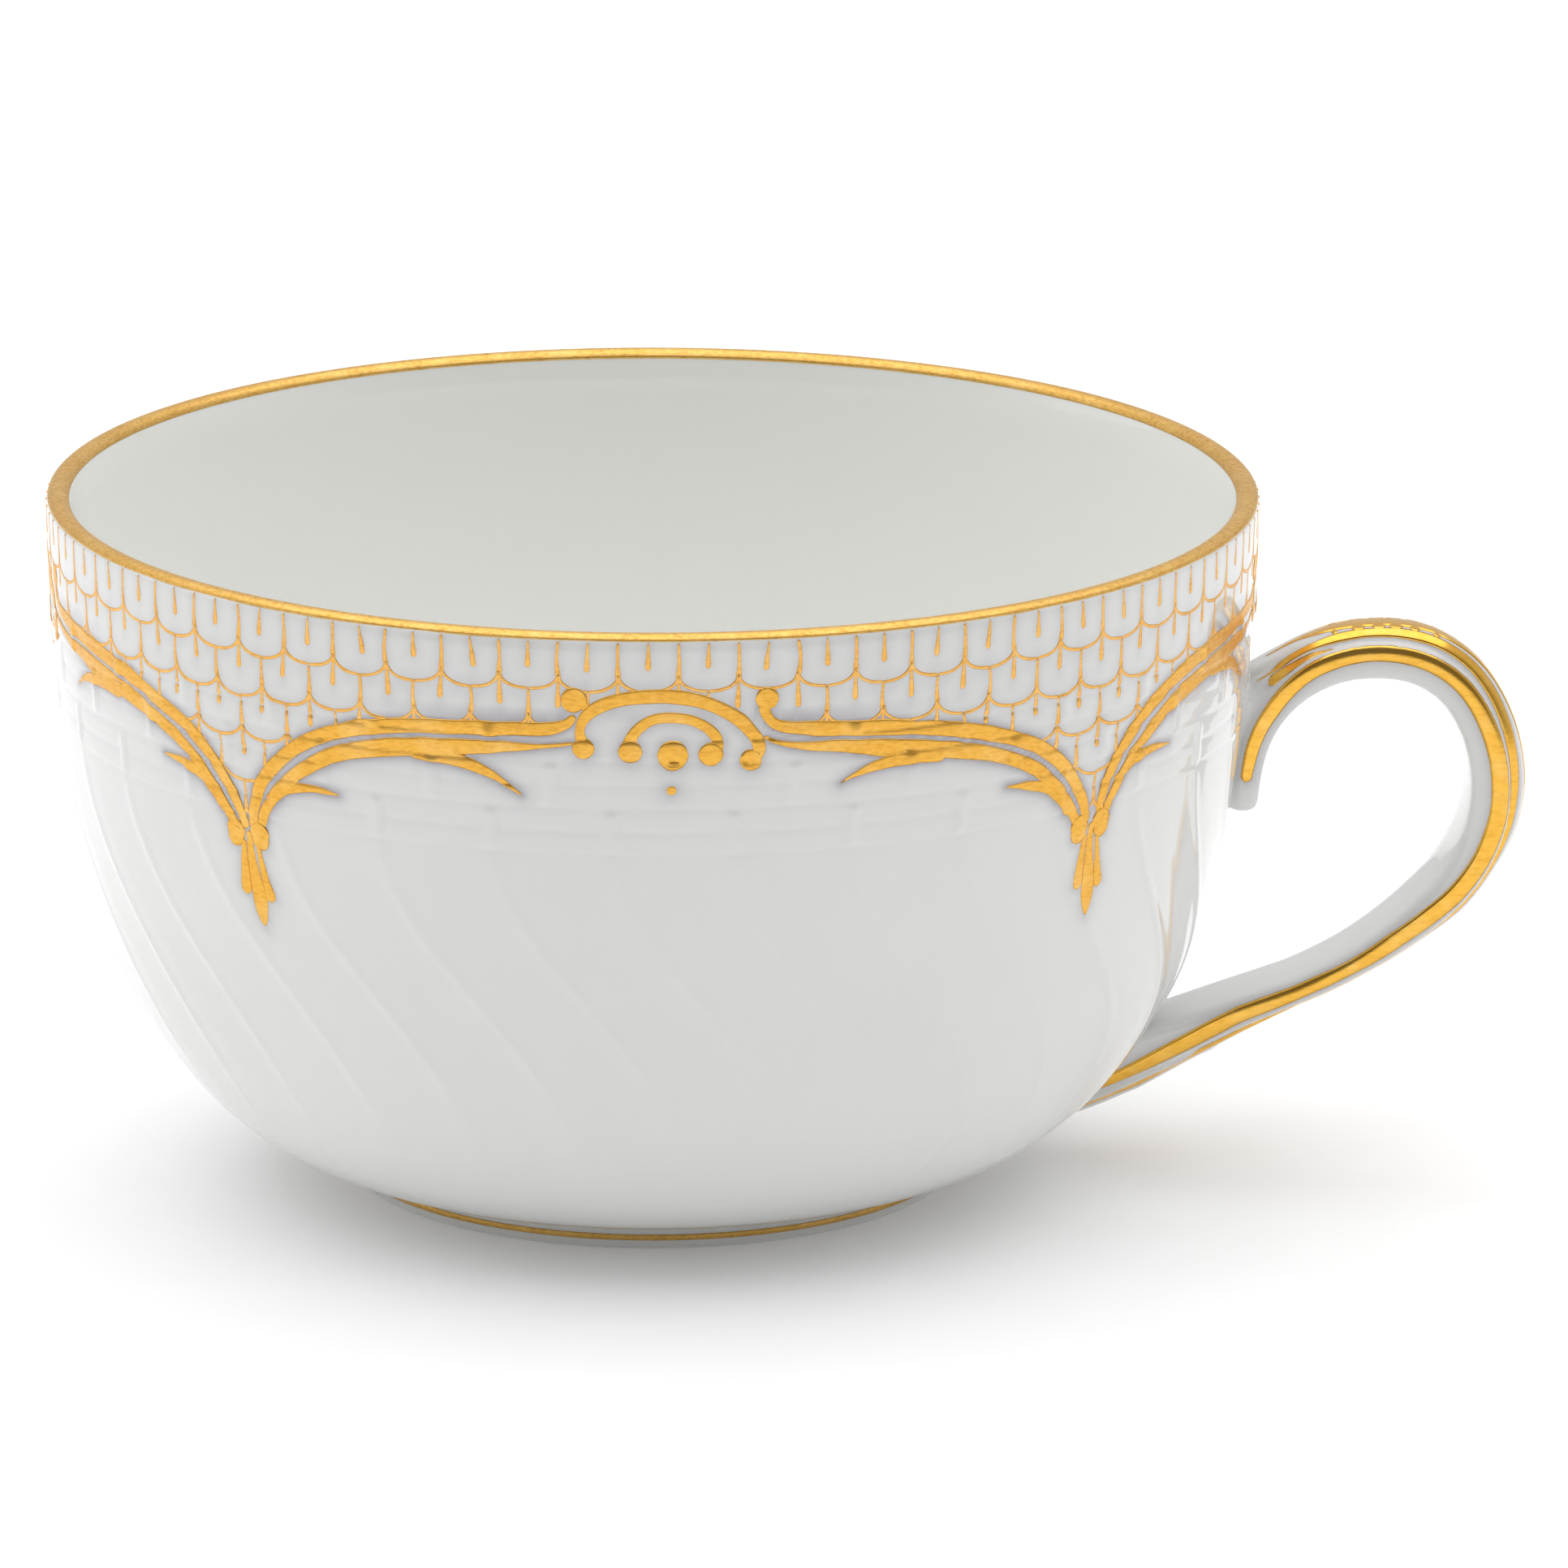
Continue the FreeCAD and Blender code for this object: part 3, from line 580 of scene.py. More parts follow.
TASSEL_DROPS = [
    [(-0.75, 38.0, 0.45), (-0.95, 35.6, 0.8), (-1.05, 33.9, 1.1), (-1.0, 33.2, 0.9)],
    [(0.0, 38.8, 0.55), (0.1, 36.2, 0.9), (0.5, 33.6, 1.5), (0.62, 32.3, 1.4), (0.72, 31.2, 0.8),
     (0.75, 30.7, 0.15)],
    [(1.0, 37.7, 0.4), (1.5, 35.0, 0.75), (1.9, 33.6, 1.05), (1.95, 32.9, 0.85)],
]
DRAWN_HALF_SPAN = 43.5
# Name, the crest's angle, the angle of the net's middle and half of the garland's span.
GARLANDS = [("front", 0.0, 0.5, 43.5), ("handle_side", 89.0, 89.25, 45.25),
            ("back", 180.0, 180.0, 45.5), ("left_side", -88.75, -88.75, 45.75)]
TASSELS = [("front_right", 44.0), ("back_right", 134.5), ("back_left", -134.5),
           ("front_left", -43.0)]


def make_garlands():
    """Each stroke lies a few micrometres over the one before, so that no two coincide."""
    for name, centre, _, half_span in GARLANDS:
        stretch = half_span / DRAWN_HALF_SPAN
        garland = Strokes()
        for level, stroke in enumerate(GARLAND_STROKES):
            wall_film(garland, stroke, 0.03 + 0.003 * level, 0.03, centre=centre, stretch=stretch)
        finish_piece(garland.build(f"gilt_garland_{name}", gold), "gilding", f"garland_{name}")
        crest = Strokes()
        wall_film(crest, BULB_NECK, 0.04, 0.02, centre=centre)
        wall_film(crest, GREAT_ARCH, 0.058, 0.03, centre=centre)
        wall_film(crest, SMALL_ARCH, 0.04, 0.025, centre=centre)
        for level, (angle, z, radius) in enumerate(CREST_DOTS):
            wall_dot(crest, angle, z, radius, 0.045 + 0.003 * level, centre)
        finish_piece(crest.build(f"gilt_crest_{name}", gold), "gilding", f"crest_{name}")
    for name, centre in TASSELS:
        tassel = Strokes()
        for level, drop in enumerate(TASSEL_DROPS):
            wall_film(tassel, drop, 0.045 + 0.005 * level, 0.02, centre=centre)
        for level, (angle, z, radius) in enumerate(TASSEL_DOTS):
            wall_dot(tassel, angle, z, radius, 0.062 + 0.005 * level, centre)
        finish_piece(tassel.build(f"gilt_tassel_{name}", gold), "gilding", f"tassel_{name}")


# ---------------------------------------------------------------- painted scale net

RIM_LINE = 57.7
FIRST_CUSP = 55.1
ROW_PITCH = 3.15
ROW_PITCH_GAIN = 0.4
SCALE_DROP = 1.35
SCALE_ROWS = 5
SCALES_IN_GARLAND = 16
FIRST_QUILL = 2.3
QUILL_LENGTH = 2.7
# Widths along each kind of line, from its start to its end.
QUILL_WIDTHS = [0.14, 0.2, 0.3, 0.44, 0.42]
DIVIDER_WIDTHS = [0.22, 0.24, 0.3, 0.5]
SCALE_WIDTHS = [0.4, 0.26, 0.25, 0.25, 0.25]


def border_height(angle):
    """The middle of the gilt border that the net runs down to, for an angle from the crest."""
    strokes = UPPER_LEFT[:0:-1] + GREAT_ARCH[2:-4] + UPPER_RIGHT[4:]
    border = np.array([(a, z) for a, z, _ in strokes])
    order = np.argsort(border[:, 0])
    return np.interp(angle, border[order, 0], border[order, 1])


def net_line(strokes, angles, heights, widths, centre, stretch):
    """A fine line, cut off where it passes under the border."""
    count = len(heights)
    widths = np.interp(np.linspace(0, 1, count), np.linspace(0, 1, len(widths)), widths)
    line = np.stack([np.broadcast_to(angles, count), heights, widths], -1)
    shown = line[:, 1] > border_height(line[:, 0] / stretch) - 0.1
    stop = count if shown.all() else int(np.argmin(shown))
    if stop >= 2:
        wall_film(strokes, line[:stop], 0.026, 0.014, 0.13, centre)


def cusp_height(row, angle, half_span):
    """Rows hang a little further apart towards the tassels; row -1 is the rim."""
    pitch = ROW_PITCH + ROW_PITCH_GAIN * np.abs(angle) / half_span
    return FIRST_CUSP - pitch * row


def draw_scale(net, row, middle, pitch, centre, half_span):
    """One scale: the U at its foot, the quill in its middle and the divider on its right."""
    stretch = half_span / DRAWN_HALF_SPAN
    jitter = rng.normal(0, 1, 4)
    quill_top = RIM_LINE if row == 0 else cusp_height(row - 1, middle, half_span)
    quill_length = (FIRST_QUILL if row == 0 else QUILL_LENGTH) + 0.12 * jitter[0]
    if middle > -half_span + 0.01:
        heights = quill_top - np.linspace(0, quill_length, 8)
        slant = middle + np.linspace(0, 0.12 * jitter[1], 8)
        net_line(net, slant, heights, QUILL_WIDTHS, centre, stretch)
    edge = middle + pitch / 2
    if edge < half_span + 0.01:
        cusp = cusp_height(row, edge, half_span)
        top = RIM_LINE if row == 0 else cusp_height(row - 1, edge, half_span) - SCALE_DROP
        sway = edge + 0.08 * jitter[2] * np.sin(np.linspace(0, 3, 9))
        heights = np.linspace(top, cusp - 0.3, 9)
        net_line(net, sway, heights, DIVIDER_WIDTHS, centre, stretch)
    for side in (-1, 1):
        edge = middle + side * pitch / 2
        if abs(edge) > half_span + 0.01:
            continue
        turn = np.linspace(0, np.pi / 2, 11)
        reach = middle + (edge - middle) * np.cos(turn) ** 0.9
        high = cusp_height(row, edge, half_span)
        low = cusp_height(row, middle, half_span) - SCALE_DROP - 0.06 * jitter[3]
        heights = high + (low - high) * np.sin(turn) ** 0.95
        net_line(net, reach, heights, SCALE_WIDTHS, centre, stretch)


def make_scale_net():
    for name, _, centre, half_span in GARLANDS:
        pitch = 2 * half_span / SCALES_IN_GARLAND
        net = Strokes()
        for row in range(SCALE_ROWS):
            shift = 0.5 if row % 2 == 0 else 0.0
            for index in range(-SCALES_IN_GARLAND // 2, SCALES_IN_GARLAND // 2 + 1):
                middle = (index + shift) * pitch
                if abs(middle) < half_span + 0.01:
                    draw_scale(net, row, middle, pitch, centre, half_span)
        finish_piece(net.build(f"gilt_scale_net_{name}", gold_fine), "gilding")


# ---------------------------------------------------------------- haze beside the gold

# Start of the gilt pieces' names, strength and reach in millimetres.
BOWL_BLOOMS = [("gilt_scale_net", 0.28, 0.4), ("gilt_g", 1.0, 0.4), ("gilt_crest", 0.5, 0.6),
               ("gilt_tassel", 0.5, 0.5)]
HANDLE_BLOOMS = [("gilt_handle", 0.5, 0.5)]


def nearness(vertices, gilding, reach):
    """How near each vertex is to the gilding, from 1 beside it to 0 well away."""
    tree = KDTree(len(gilding))
    for index, point in enumerate(gilding):
        tree.insert(point, index)
    tree.balance()
    gaps = np.array([tree.find(vertex)[2] for vertex in vertices])
    return np.exp(-gaps / reach)


def piece_places(piece):
    places = np.empty(len(piece.data.vertices) * 3)
    piece.data.vertices.foreach_get("co", places)
    return places.reshape(-1, 3) / METRES


def set_values(piece, name, values):
    attribute = piece.data.attributes.new(name, "FLOAT", "POINT")
    attribute.data.foreach_set("value", values.astype(np.float32))


def add_haze(piece, painted, blooms):
    """The faint lilac-grey bloom in the glaze beside the gold, strongest between two strokes.
    painted marks the vertices that may have it."""
    places = piece_places(piece)
    haze = np.zeros(len(places))
    for prefix, strength, reach in blooms:
        gilding = np.concatenate([
            piece_places(other)[::2] for other in bpy.data.objects
            if other.name.startswith(prefix)])
        haze[painted] = np.maximum(
            haze[painted], strength * nearness(places[painted], gilding, reach))
    set_values(piece, "haze", haze)


def tint_bowl(bowl):
    places = piece_places(bowl)
    radius = np.hypot(places[:, 0], places[:, 1])
    height = places[:, 2]
    # The inside of the bowl, which the porcelain paints lighter as painted light.
    inside = (radius < wall_radius(height) - 0.9) & (height > 3.5)
    painted = (radius > wall_radius(height) - 0.5) & (height < 57.6) & (height > 29)
    set_values(bowl, "inside", inside)
    add_haze(bowl, painted, BOWL_BLOOMS)


# ---------------------------------------------------------------- rim and foot

RIM_BAND_START = math.radians(32)


def make_rim_band():
    """Gold over the lip, a little uneven along its outer edge."""
    _, centre, angles = lip_points(19)
    angles = angles[angles > RIM_BAND_START]
    columns = 512
    turn = np.arange(columns) * 2 * np.pi / columns
    waver = np.interp(turn, np.linspace(0, 2 * np.pi, 97), np.append(rng.normal(0, 0.02, 96), 0))
    # Over the lip from the outer edge to the inner one, then back underneath.
    lifts = [(angles[0], 0.012), *((along, 0.055) for along in angles[1:-1]), (angles[-1], 0.012)]
    lifts += [(along, -0.05) for along in (angles[-1], angles[len(angles) // 2], angles[0])]
    rows = []
    for index, (along, lift) in enumerate(lifts):
        edge = along + waver * (index == 0)
        reach = LIP_ARC + lift
        rows.append((centre[0] + reach * np.cos(edge), centre[1] + reach * np.sin(edge)))
    grid = np.array([np.stack([r * np.sin(turn), -r * np.cos(turn), z], -1) for r, z in rows])
    faces = grid_faces(len(rows), columns, close_rows=True, close_columns=True)
    band = add_object("gilt_rim_band", grid.reshape(-1, 3), faces, gold_rim)
    finish_piece(band, "gilding", "rim_band")


def turned(name, outline, material, columns=384):
    """A closed ring turned from a closed outline of (radius, z)."""
    grid = np.array([ring(r, z, columns) for r, z in outline])
    faces = grid_faces(len(outline), columns, close_rows=True, close_columns=True)
    return add_object(name, grid.reshape(-1, 3), faces, material)


def make_foot():
    """The foot ring: a slightly flared wall, a rounded tread and a recess inside."""
    outer = [(FOOT_RADIUS + 0.45, 2.25), (FOOT_RADIUS + 0.2, 1.95), (FOOT_RADIUS + 0.06, 1.5),
             (FOOT_RADIUS, 0.9), (FOOT_RADIUS - 0.06, 0.5)]
    tread = [(FOOT_RADIUS - 0.55 + 0.45 * math.cos(a), 0.4 - 0.4 * math.sin(a))
             for a in np.linspace(0.3, math.pi / 2, 6)]
    inner = [(FOOT_INNER_RADIUS + 0.6, 0.0), (FOOT_INNER_RADIUS + 0.2, 0.12),
             (FOOT_INNER_RADIUS, 0.45), (FOOT_INNER_RADIUS - 0.1, 1.6),
             (FOOT_INNER_RADIUS - 0.5, 2.05), (FOOT_INNER_RADIUS - 1.0, 2.3)]
    foot = turned("foot_ring_turned", outer + tread + inner, porcelain)
    finish_piece(foot, "porcelain", "foot_ring")
    low, high = FOOT_LINE
    line = [(FOOT_RADIUS - 0.1, low), (FOOT_RADIUS + 0.03, low), (FOOT_RADIUS + 0.07, low + 0.15),
            (FOOT_RADIUS + 0.1, high - 0.15), (FOOT_RADIUS + 0.08, high), (FOOT_RADIUS - 0.1, high)]
    finish_piece(turned("gilt_foot_band", line, gold_rim), "gilding", "foot_band")


# ---------------------------------------------------------------- handle

# The strap's middle line: a start point, tangent arcs (radius, turn), and a straight that runs
# further into the wall than the CAD's.
PATH_START = (48.3, 30.5)
PATH_ARCS = [(23.0, 13.0), (11.2, 93.0), (8.8, 40.0), (14.3, 78.5), (35.0, 26.0)]
ARM_LENGTH = 20.0
# Runs along the strap in millimetres, with what each value does there.
SPINE_RISE = [(0, 1.6), (8, 2.15), (13, 1.95), (16, 1.7), (20, 1.7), (24, 2.05), (30, 2.4),
              (38, 2.6), (41, 2.45), (45, 1.95), (49, 1.85), (53, 1.4), (58, 1.1), (64, 1.05),
              (69, 1.7), (74, 2.56), (79, 3.48), (85, 3.75)]
HOLE_FACE = [(0, -2.0), (10, -2.15), (20, -2.45), (30, -2.2), (36, -2.25), (42, -2.3), (46, -2.35),
             (50, -2.25), (54, -2.1), (58, -1.95), (64, -1.85), (70, -1.95), (85, -2.1)]
BEAD_RISE = [(0, 0.2), (12, 0.75), (20, 0.75), (30, 1.05), (41, 1.15), (50, 0.8), (58, 0.35),
             (64, 0.3), (70, 0.7), (76, 1.4), (85, 1.9)]
WIDTH = [(0.0, 0.88), (0.6, 0.95), (1.6, 1.0), (60, 1.0), (72, 0.98), (85, 0.9)]
# The middle of each edge line, as a rise from the middle line, and its width.
EDGE_LINE = [(2.8, -0.65), (10, -0.5), (15, -0.05), (20, 0.15), (30, 0.3), (40, 0.3),
             (47, -0.2), (54, -0.75), (62, -0.95), (69, -0.7), (75, 0.3), (80, 1.2), (85, 1.6)]
EDGE_WIDTH = [(2.8, 0.9), (5, 1.1), (12, 1.4), (20, 1.65), (30, 1.7), (40, 1.75), (48, 1.6),
              (60, 1.3), (72, 1.5), (85, 1.4)]
# Half the spacing of the two side rails, and the widths of the rails and the middle band.
RAIL_SIDE = [(10.5, 2.9), (13, 2.5), (16, 2.2), (20, 2.1), (28, 2.15), (36, 2.5), (52, 2.55),
             (85, 2.3)]
RAIL_RISE = [(10, 0.8), (26, 0.78), (36, 0.58), (52, 0.55), (70, 0.7), (85, 0.75)]
RAIL_WIDTH = [(10.5, 0.1), (12.5, 0.55), (15, 0.7), (18, 1.15), (25, 1.2), (30, 1.1), (40, 0.7),
              (52, 0.55), (85, 0.6)]
MIDDLE_WIDTH = [(12.0, 0.1), (14.5, 0.8), (16.5, 1.9), (19, 2.7), (24, 2.7), (30, 2.5), (52, 2.5),
                (70, 1.9), (85, 1.7)]
# The distance of the edge lines from the strap's middle, and a rail's lean in degrees.
EDGE_SIDE = 4.1
RAIL_LEAN = 45


def at_run(table, run):
    return np.interp(run, *np.array(table, float).T)


def strap_path(step=0.25):
    """Points and outward normals along the strap's middle line, in x and z, and the run."""
    x, z = PATH_START
    heading = math.pi / 2
    points = [(x, z)]
    headings = [heading]
    pieces = [(math.radians(turn), radius * math.radians(turn)) for radius, turn in PATH_ARCS]
    for turn, length in pieces + [(0.0, ARM_LENGTH)]:
        count = int(round(length / step))
        for _ in range(count):
            heading -= turn / count / 2
            x += math.cos(heading) * length / count
            z += math.sin(heading) * length / count
            heading -= turn / count / 2
            points.append((x, z))
            headings.append(heading)
    points = np.array(points)
    headings = np.array(headings)
    normals = np.stack([-np.sin(headings), np.cos(headings)], -1)
    run = np.concatenate([[0], np.cumsum(np.linalg.norm(np.diff(points, axis=0), axis=1))])
    return points, normals, run


def strap_section(hole, bead, spine):
    """Half the section as (across, rise), from the middle of the hole face round the side and
    the edge bead to the top of the spine."""
    valley = bead - 0.35
    foot = valley + 0.2 * (spine - valley)
    outline = [
        (0.0, hole - 0.04), (1.0, hole - 0.04), (2.0, hole - 0.02), (2.8, hole + 0.03),
        (3.5, hole + 0.1), (3.84, hole + 0.32), (3.97, hole + 0.62), (4.02, hole + 0.95),
        (4.06, (hole + 0.95 + bead) / 2 - 0.1), (4.06, bead - 0.75), (3.99, bead - 0.42),
        (3.85, bead - 0.15), (3.65, bead - 0.02), (3.4, bead), (3.15, bead - 0.1),
        (2.98, bead - 0.24), (2.85, valley + 0.05), (2.72, foot),
        (2.55, foot + 0.33 * (spine - foot)), (2.3, foot + 0.58 * (spine - foot)),
        (1.95, foot + 0.76 * (spine - foot)), (1.5, foot + 0.89 * (spine - foot)),
        (1.0, foot + 0.96 * (spine - foot)), (0.5, foot + 0.99 * (spine - foot)), (0.0, spine),
    ]
    half = np.array(outline)
    return np.concatenate([half, half[-2:0:-1] * [-1, 1]])


def strap_point(base, normal, across, rise):
    """A point from the middle line's place and normal; arrays broadcast."""
    place = base + normal * np.asarray(rise)[..., None]
    across = np.broadcast_to(across, place.shape[:-1])
    return np.stack([place[..., 0], across, place[..., 1]], -1)


def strap_surface():
    points, normals, run = strap_path()
    rows = []
    for base, normal, here in zip(points, normals, run):
        section = strap_section(
            at_run(HOLE_FACE, here), at_run(BEAD_RISE, here), at_run(SPINE_RISE, here))
        section[:, 0] *= at_run(WIDTH, here)
        rows.append(strap_point(base, normal, section[:, 0], section[:, 1]))
    return np.array(rows)


def capped_tube(name, grid, round_start=0.0):
    """A closed tube; round_start pulls the first ring out into a small dome."""
    if round_start:
        heart = grid[0].mean(0)
        away = heart - grid[1].mean(0)
        away /= np.linalg.norm(away)
        rings = [
            heart + (grid[0] - heart) * [shrink, 0.5 + shrink / 2, shrink] + away * reach
            for shrink, reach in ((0.35, round_start), (0.72, round_start * 0.82),
                                  (0.92, round_start * 0.48))
        ]
        grid = np.concatenate([np.array(rings), grid])
    rows, columns, _ = grid.shape
    vertices = np.concatenate([grid.reshape(-1, 3), grid[:1].mean(1), grid[-1:].mean(1)])
    faces = grid_faces(rows, columns, close_columns=True)
    first, last = rows * columns, rows * columns + 1
    end = (rows - 1) * columns
    for column in range(columns):
        beside = (column + 1) % columns
        faces.append((beside, column, first))
        faces.append((end + column, end + beside, last))
    return add_object(name, vertices, faces, porcelain)


def web_block(name, corners, half_width):
    """A flat-sided web with rounded flanks, from its outline in x and z."""
    outline = smooth_line([(*corner, 0.0) for corner in corners + corners[:1]], 0.4)[:-1, :2]
    heart = outline.mean(0)
    rows = []
    for across, shrink in ((-1, 0.86), (-0.93, 0.95), (-0.8, 1), (0.8, 1), (0.93, 0.95), (1, 0.86)):
        rim = heart + (outline - heart) * shrink
        rows.append(np.stack([rim[:, 0], np.full(len(rim), across * half_width), rim[:, 1]], -1))
    return capped_tube(name, np.array(rows))


# The outlines, in x and z, of the webs that carry the strap's two ends on to the wall.
TAB_WEB = [(46.0, 31.2), (48.8, 31.1), (49.8, 35.0), (51.6, 38.6), (51.0, 40.6), (46.0, 40.6)]
CROWN_WEB = [(46.0, 36.0), (51.0, 38.5), (55.0, 42.0), (55.6, 44.3), (52.4, 43.0), (50.2, 41.9),
             (48.8, 41.2), (46.0, 40.9)]
CROWN_RIDGE = [(46.0, 38.0), (51.0, 39.0), (55.0, 42.5), (56.5, 45.3), (54.2, 44.7), (52.2, 43.8),
               (50.2, 42.7), (48.8, 42.0), (46.0, 41.7)]
ROOT_WEB = [(46.0, 12.6), (40.0, 11.5), (33.5, 8.6), (30.6, 4.6), (33.2, 4.1), (36.5, 5.2),
            (41.0, 7.2), (45.5, 9.6)]
ROOT_RIDGE = [(46.0, 12.0), (40.0, 10.5), (33.5, 7.6), (30.4, 3.9), (33.0, 3.3), (36.0, 4.1),
              (40.5, 6.0), (45.0, 8.5), (47.5, 9.9)]


HANDLE_SINK = 0.8
SKIN_VOXEL = 0.2


def joined(name, pieces):
    """One closed skin over overlapping solids, with soft junctions, sunk a little in the wall."""
    with bpy.context.temp_override(
            active_object=pieces[0], selected_editable_objects=pieces, selected_objects=pieces):
        bpy.ops.object.join()
    whole = pieces[0]
    whole.name = name
    skin = whole.modifiers.new("skin", "REMESH")
    skin.mode = "VOXEL"
    skin.voxel_size = SKIN_VOXEL * METRES
    relax = whole.modifiers.new("relax", "SMOOTH")
    relax.factor = 0.5
    relax.iterations = 8
    graph = bpy.context.evaluated_depsgraph_get()
    mesh = bpy.data.meshes.new_from_object(whole.evaluated_get(graph))
    whole.modifiers.clear()
    whole.data = mesh
    places = piece_places(whole)
    radius = np.hypot(places[:, 0], places[:, 1])
    deepest = wall_radius(places[:, 2]) - HANDLE_SINK
    push = np.maximum(deepest / radius, 1.0)
    places[:, :2] *= push[:, None]
    mesh.vertices.foreach_set("co", (places * METRES).ravel())
    mesh.update()
    mesh.shade_smooth()
    mesh.materials.clear()
    mesh.materials.append(porcelain)
    return whole


def wrapped_film(strokes, skin, centres, across, widths, height=0.05, waver=0.02):
    """A gilt line on the handle: centres (n, 3) are laid on the skin, across is the width's way."""
    count = len(centres)
    run = np.concatenate([[0], np.cumsum(np.linalg.norm(np.diff(centres, axis=0), axis=1))])
    to_end = np.minimum(run, run[-1] - run)
    rounding = np.clip(to_end / (widths / 2), 0.01, 1)
    half = widths / 2 * np.sqrt(1 - (1 - rounding) ** 2)
    left = half + wavering(count, waver) * rounding
    right = half + wavering(count, waver) * rounding
    shares = [-1.0, -1.0, -0.6, -0.2, 0.2, 0.6, 1.0, 1.0]
    levels = [-0.06, 0.6, 1.0, 1.0, 1.0, 1.0, 0.6, -0.06]
    grid = np.zeros((count, len(shares), 3))
    for row in range(count):
        for column, (share, level) in enumerate(zip(shares, levels)):
            reach = left[row] if share < 0 else right[row]
            target = centres[row] + across[row] * share * reach
            place, normal, _, _ = skin.find_nearest(Vector(target * METRES))
            lift = height * level if level > 0 else level
            grid[row, column] = (np.array(place) / METRES) + np.array(normal) * lift
    strokes.add(grid)


def line_places(across, rise, lean, start, end):
    """Centres and across directions of a line along the strap. rise and across may be tables;
    lean is how far, in degrees, the line's width tips from straight out towards the middle."""
    points, normals, run = strap_path()
    keep = (run >= start) & (run <= end)
    here = run[keep]
    rises = at_run(rise, here) if isinstance(rise, list) else np.full(len(here), rise)
    sides = (at_run(across, here) if isinstance(across, list) else across) * at_run(WIDTH, here)
    centres = strap_point(points[keep], normals[keep], sides, rises)
    tip = math.radians(lean)
    outward = np.stack([normals[keep, 0], np.zeros(len(here)), normals[keep, 1]], -1)
    inward = np.stack([np.zeros(len(here)), -np.sign(sides + 1e-9), np.zeros(len(here))], -1)
    direction = outward * math.cos(tip) + inward * math.sin(tip)
    return centres, direction, here


# Cross-bars between the middle band and each side rail, as start and end along the strap.
LADDER_BARS = [(17.1, 17.7), (18.6, 19.6), (20.2, 21.2), (21.5, 22.5), (22.9, 23.6), (24.6, 25.2)]
LADDER_SIDE = 1.3
LADDER_WIDTH = 1.5
LADDER_LEAN = 70
# A short stray stroke below each side rail, where the strap leaves the wall.
FLICK_SIDE = [(11, 3.35), (17, 3.0)]
FLICK_RISE = [(11, 0.95), (14, 0.85), (17, 0.75)]
FLICK_WIDTH = [(11, 0.7), (13, 1.0), (15, 0.8), (17, 0.15)]


def make_handle():
    strap = capped_tube("strap", strap_surface()[5:], round_start=1.2)
    webs = [web_block("tab_web", TAB_WEB, 3.7), web_block("crown_web", CROWN_WEB, 3.3),
            web_block("crown_ridge", CROWN_RIDGE, 1.6), web_block("root_web", ROOT_WEB, 3.0),
            web_block("root_ridge", ROOT_RIDGE, 1.5)]
    handle = joined("handle_strap", [strap] + webs)
    finish_piece(handle, "porcelain", "handle")
    skin = BVHTree.FromPolygons(
        [v.co.copy() for v in handle.data.vertices],
        [tuple(p.vertices) for p in handle.data.polygons])

    for side, name in ((-EDGE_SIDE, "front"), (EDGE_SIDE, "back")):
        line = Strokes()
        centres, across, here = line_places(side, EDGE_LINE, 0, 2.8, 83.0)
        wrapped_film(line, skin, centres, across, at_run(EDGE_WIDTH, here))
        finish_piece(line.build(f"gilt_handle_{name}_line", gold_handle), "gilding",
                     f"handle_{name}_line")

    spine = Strokes()
    rail_rise = [
        (run, at_run(SPINE_RISE, run) * at_run(RAIL_RISE, run)) for run in range(10, 86, 3)]
    for side in (-1, 1):
        rail_side = [(run, side * across) for run, across in RAIL_SIDE]
        centres, across, here = line_places(rail_side, rail_rise, RAIL_LEAN, 10.5, 84.0)
        wrapped_film(spine, skin, centres, across, at_run(RAIL_WIDTH, here), 0.045)
        flick_side = [(run, side * across) for run, across in FLICK_SIDE]
        centres, across, here = line_places(flick_side, FLICK_RISE, RAIL_LEAN, 11.0, 17.0)
        wrapped_film(spine, skin, centres, across, at_run(FLICK_WIDTH, here), 0.04)
        for start, end in LADDER_BARS:
            centres, across, _ = line_places(
                side * LADDER_SIDE, SPINE_RISE, LADDER_LEAN, start - 0.1, end + 0.1)
            widths = np.full(len(centres), LADDER_WIDTH)
            wrapped_film(spine, skin, centres, across, widths, 0.047, 0.0)
    centres, across, here = line_places(0.0, SPINE_RISE, 90, 12.0, 84.0)
    wrapped_film(spine, skin, centres, across, at_run(MIDDLE_WIDTH, here), 0.045)
    finish_piece(spine.build("gilt_handle_spine_line", gold_handle), "gilding", "handle_spine_line")
    add_haze(handle, np.full(len(handle.data.vertices), True), HANDLE_BLOOMS)


# ---------------------------------------------------------------- stage

def area_light(name, place, target, size, power):
    data = bpy.data.lights.new(name, "AREA")
    data.shape = "RECTANGLE"
    data.size, data.size_y = size
    data.energy = power
    light = bpy.data.objects.new(name, data)
    light.location = place
    light.rotation_euler = (Vector(target) - Vector(place)).to_track_quat("-Z", "Y").to_euler()
    bpy.context.scene.collection.objects.link(light)


SKY_LEVEL = 0.71
FRONT_SKY_LEVEL = 0.18
# The floor gives off a little light of its own, which keeps it pale beside the white cup.
FLOOR_GLOW = 0.1
FLOOR_HALF = 4000.0
PAPER = [(0.3, (0.965, 0.965, 0.965)), (0.7, (0.98, 0.98, 0.98))]


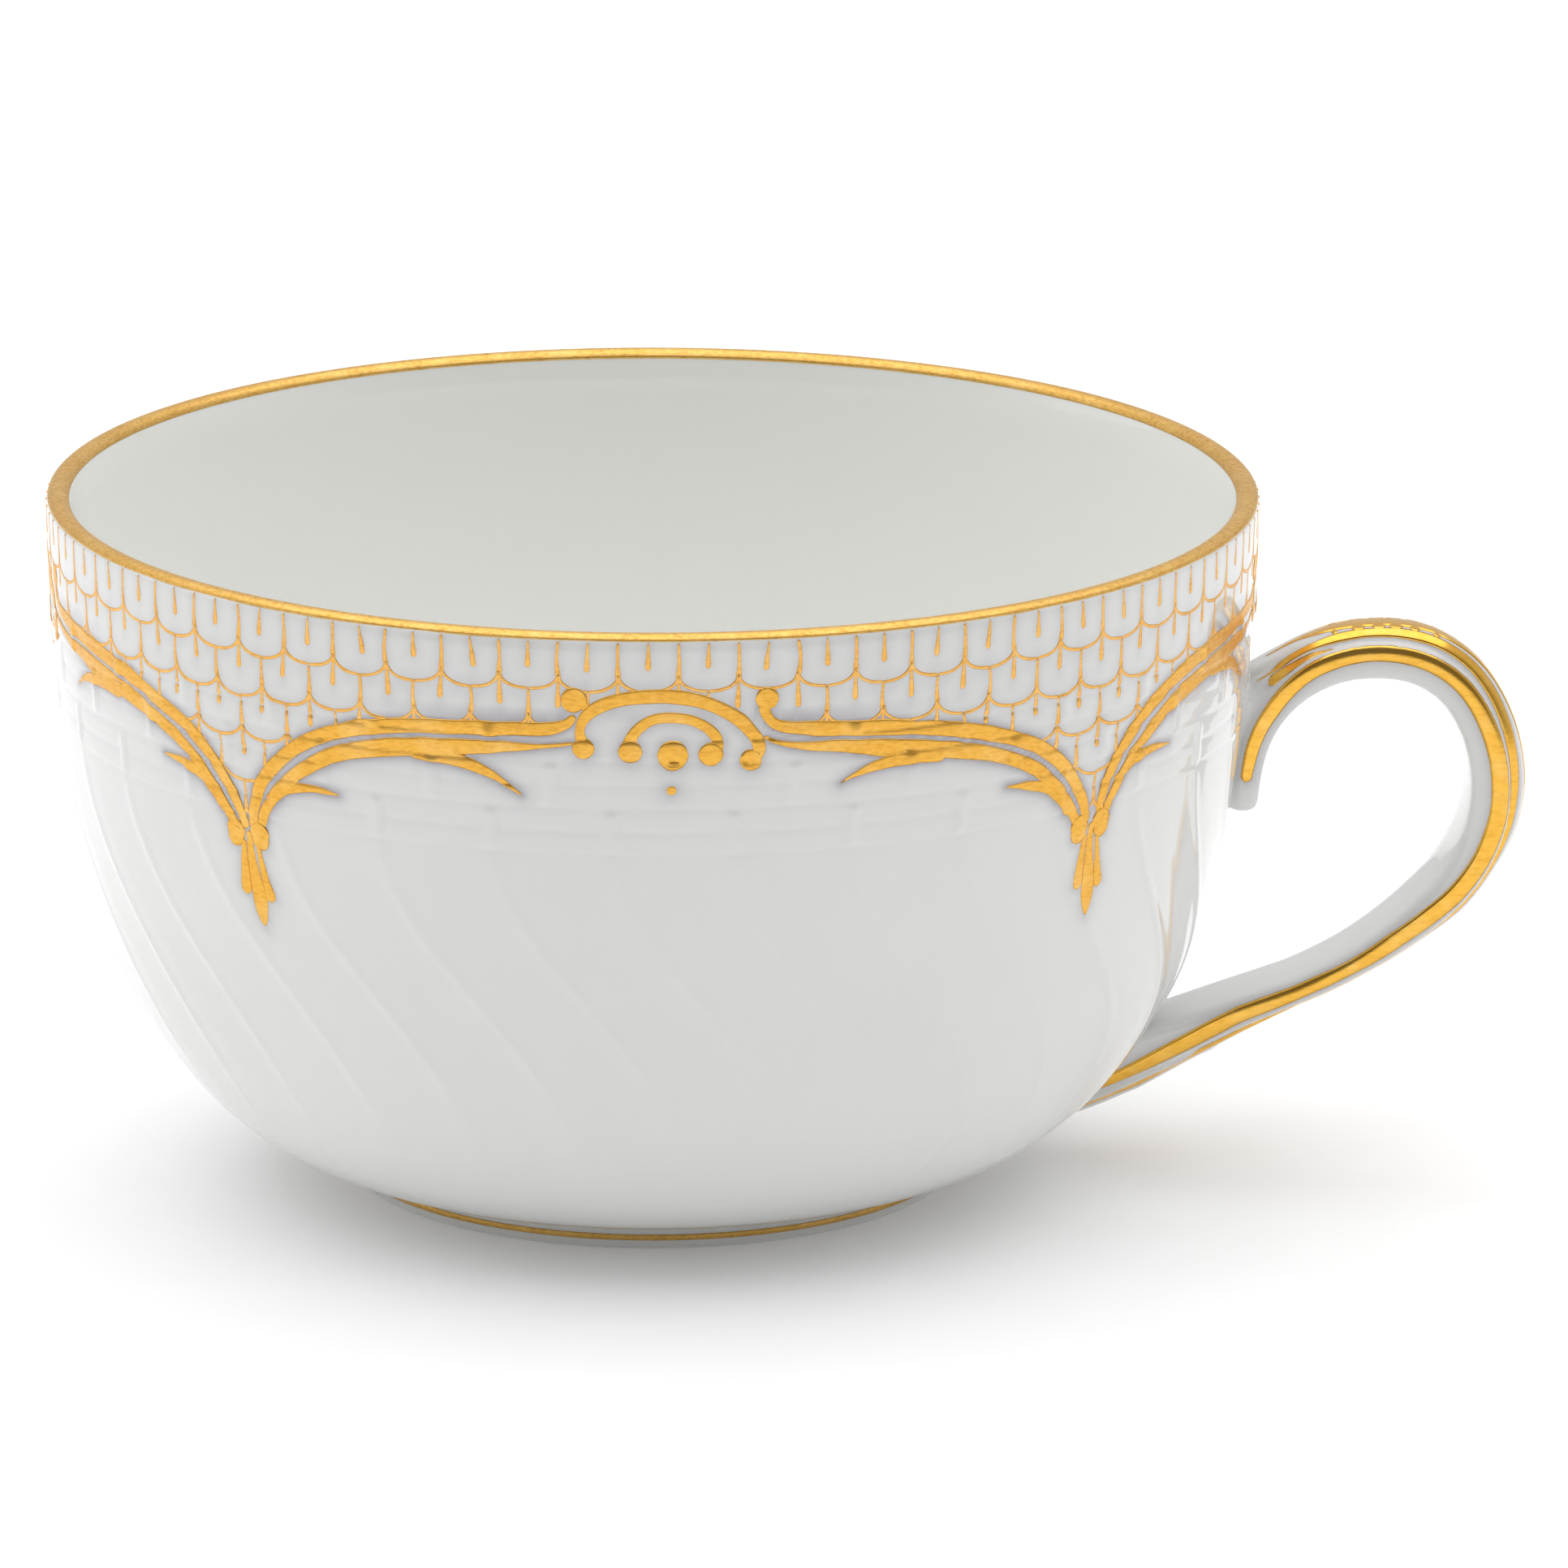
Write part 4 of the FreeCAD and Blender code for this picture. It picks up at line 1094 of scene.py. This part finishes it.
def make_stage():
    material, nodes, links, shader = new_material("floor_paper")
    place = nodes.new("ShaderNodeTexCoord").outputs["Object"]
    grain = noise_node(nodes, links, place, 180.0, 3.0)
    links.new(colour_ramp(nodes, links, grain, PAPER), shader.inputs["Base Color"])
    shader.inputs["Roughness"].default_value = 1.0
    shader.inputs["Specular IOR Level"].default_value = 0.0
    shader.inputs["Emission Color"].default_value = (1.0, 1.0, 1.0, 1.0)
    shader.inputs["Emission Strength"].default_value = FLOOR_GLOW
    corners = [(FLOOR_HALF * x, FLOOR_HALF * y, 0) for x, y in ((-1, -1), (1, -1), (1, 1), (-1, 1))]
    floor = add_object("floor", corners, [(0, 1, 2, 3)], material, smooth=False)

    # A white studio, dimmer on the side the cup is looked at from.
    world = bpy.data.worlds.new("studio")
    world.use_nodes = True
    nodes = world.node_tree.nodes
    links = world.node_tree.links
    split = nodes.new("ShaderNodeSeparateXYZ")
    links.new(nodes.new("ShaderNodeTexCoord").outputs["Generated"], split.inputs["Vector"])
    level = mapped(nodes, links, split.outputs["Y"], -0.75, -0.1, FRONT_SKY_LEVEL, SKY_LEVEL)
    background = nodes["Background"]
    background.inputs["Color"].default_value = (0.985, 0.99, 1.0, 1)
    links.new(level, background.inputs["Strength"])
    bpy.context.scene.world = world

    middle = (0.0, 0.0, 0.03)
    area_light("top_softbox", (0.0, 0.05, 1.1), middle, (1.9, 1.7), 12.3)
    area_light("left_softbox", (-0.9, 0.25, 0.4), middle, (0.6, 0.7), 0.5)
    bpy.context.scene.view_settings.view_transform = "Standard"


CAMERA_AZIMUTH = math.radians(-2.495)
CAMERA_ELEVATION = math.radians(15.37)
CAMERA_DISTANCE = 0.9334
CAMERA_TARGET = Vector((0.01091, -0.00034, 0.03252))
CAMERA_ROLL = 0.0039
CAMERA_LENS = 257.42


def make_camera():
    data = bpy.data.cameras.new("camera")
    data.lens = CAMERA_LENS
    data.sensor_width = 36.0
    camera = bpy.data.objects.new("camera", data)
    away = Vector((
        math.sin(CAMERA_AZIMUTH) * math.cos(CAMERA_ELEVATION),
        -math.cos(CAMERA_AZIMUTH) * math.cos(CAMERA_ELEVATION),
        math.sin(CAMERA_ELEVATION),
    ))
    camera.location = CAMERA_TARGET + away * CAMERA_DISTANCE
    look = (-away).to_track_quat("-Z", "Y").to_matrix().to_4x4()
    camera.rotation_euler = (look @ Matrix.Rotation(CAMERA_ROLL, 4, "Z")).to_euler()
    bpy.context.scene.collection.objects.link(camera)
    bpy.context.scene.camera = camera


make_camera()
make_stage()
bowl_body = make_bowl()
make_foot()
make_rim_band()
make_garlands()
make_scale_net()
tint_bowl(bowl_body)
make_handle()
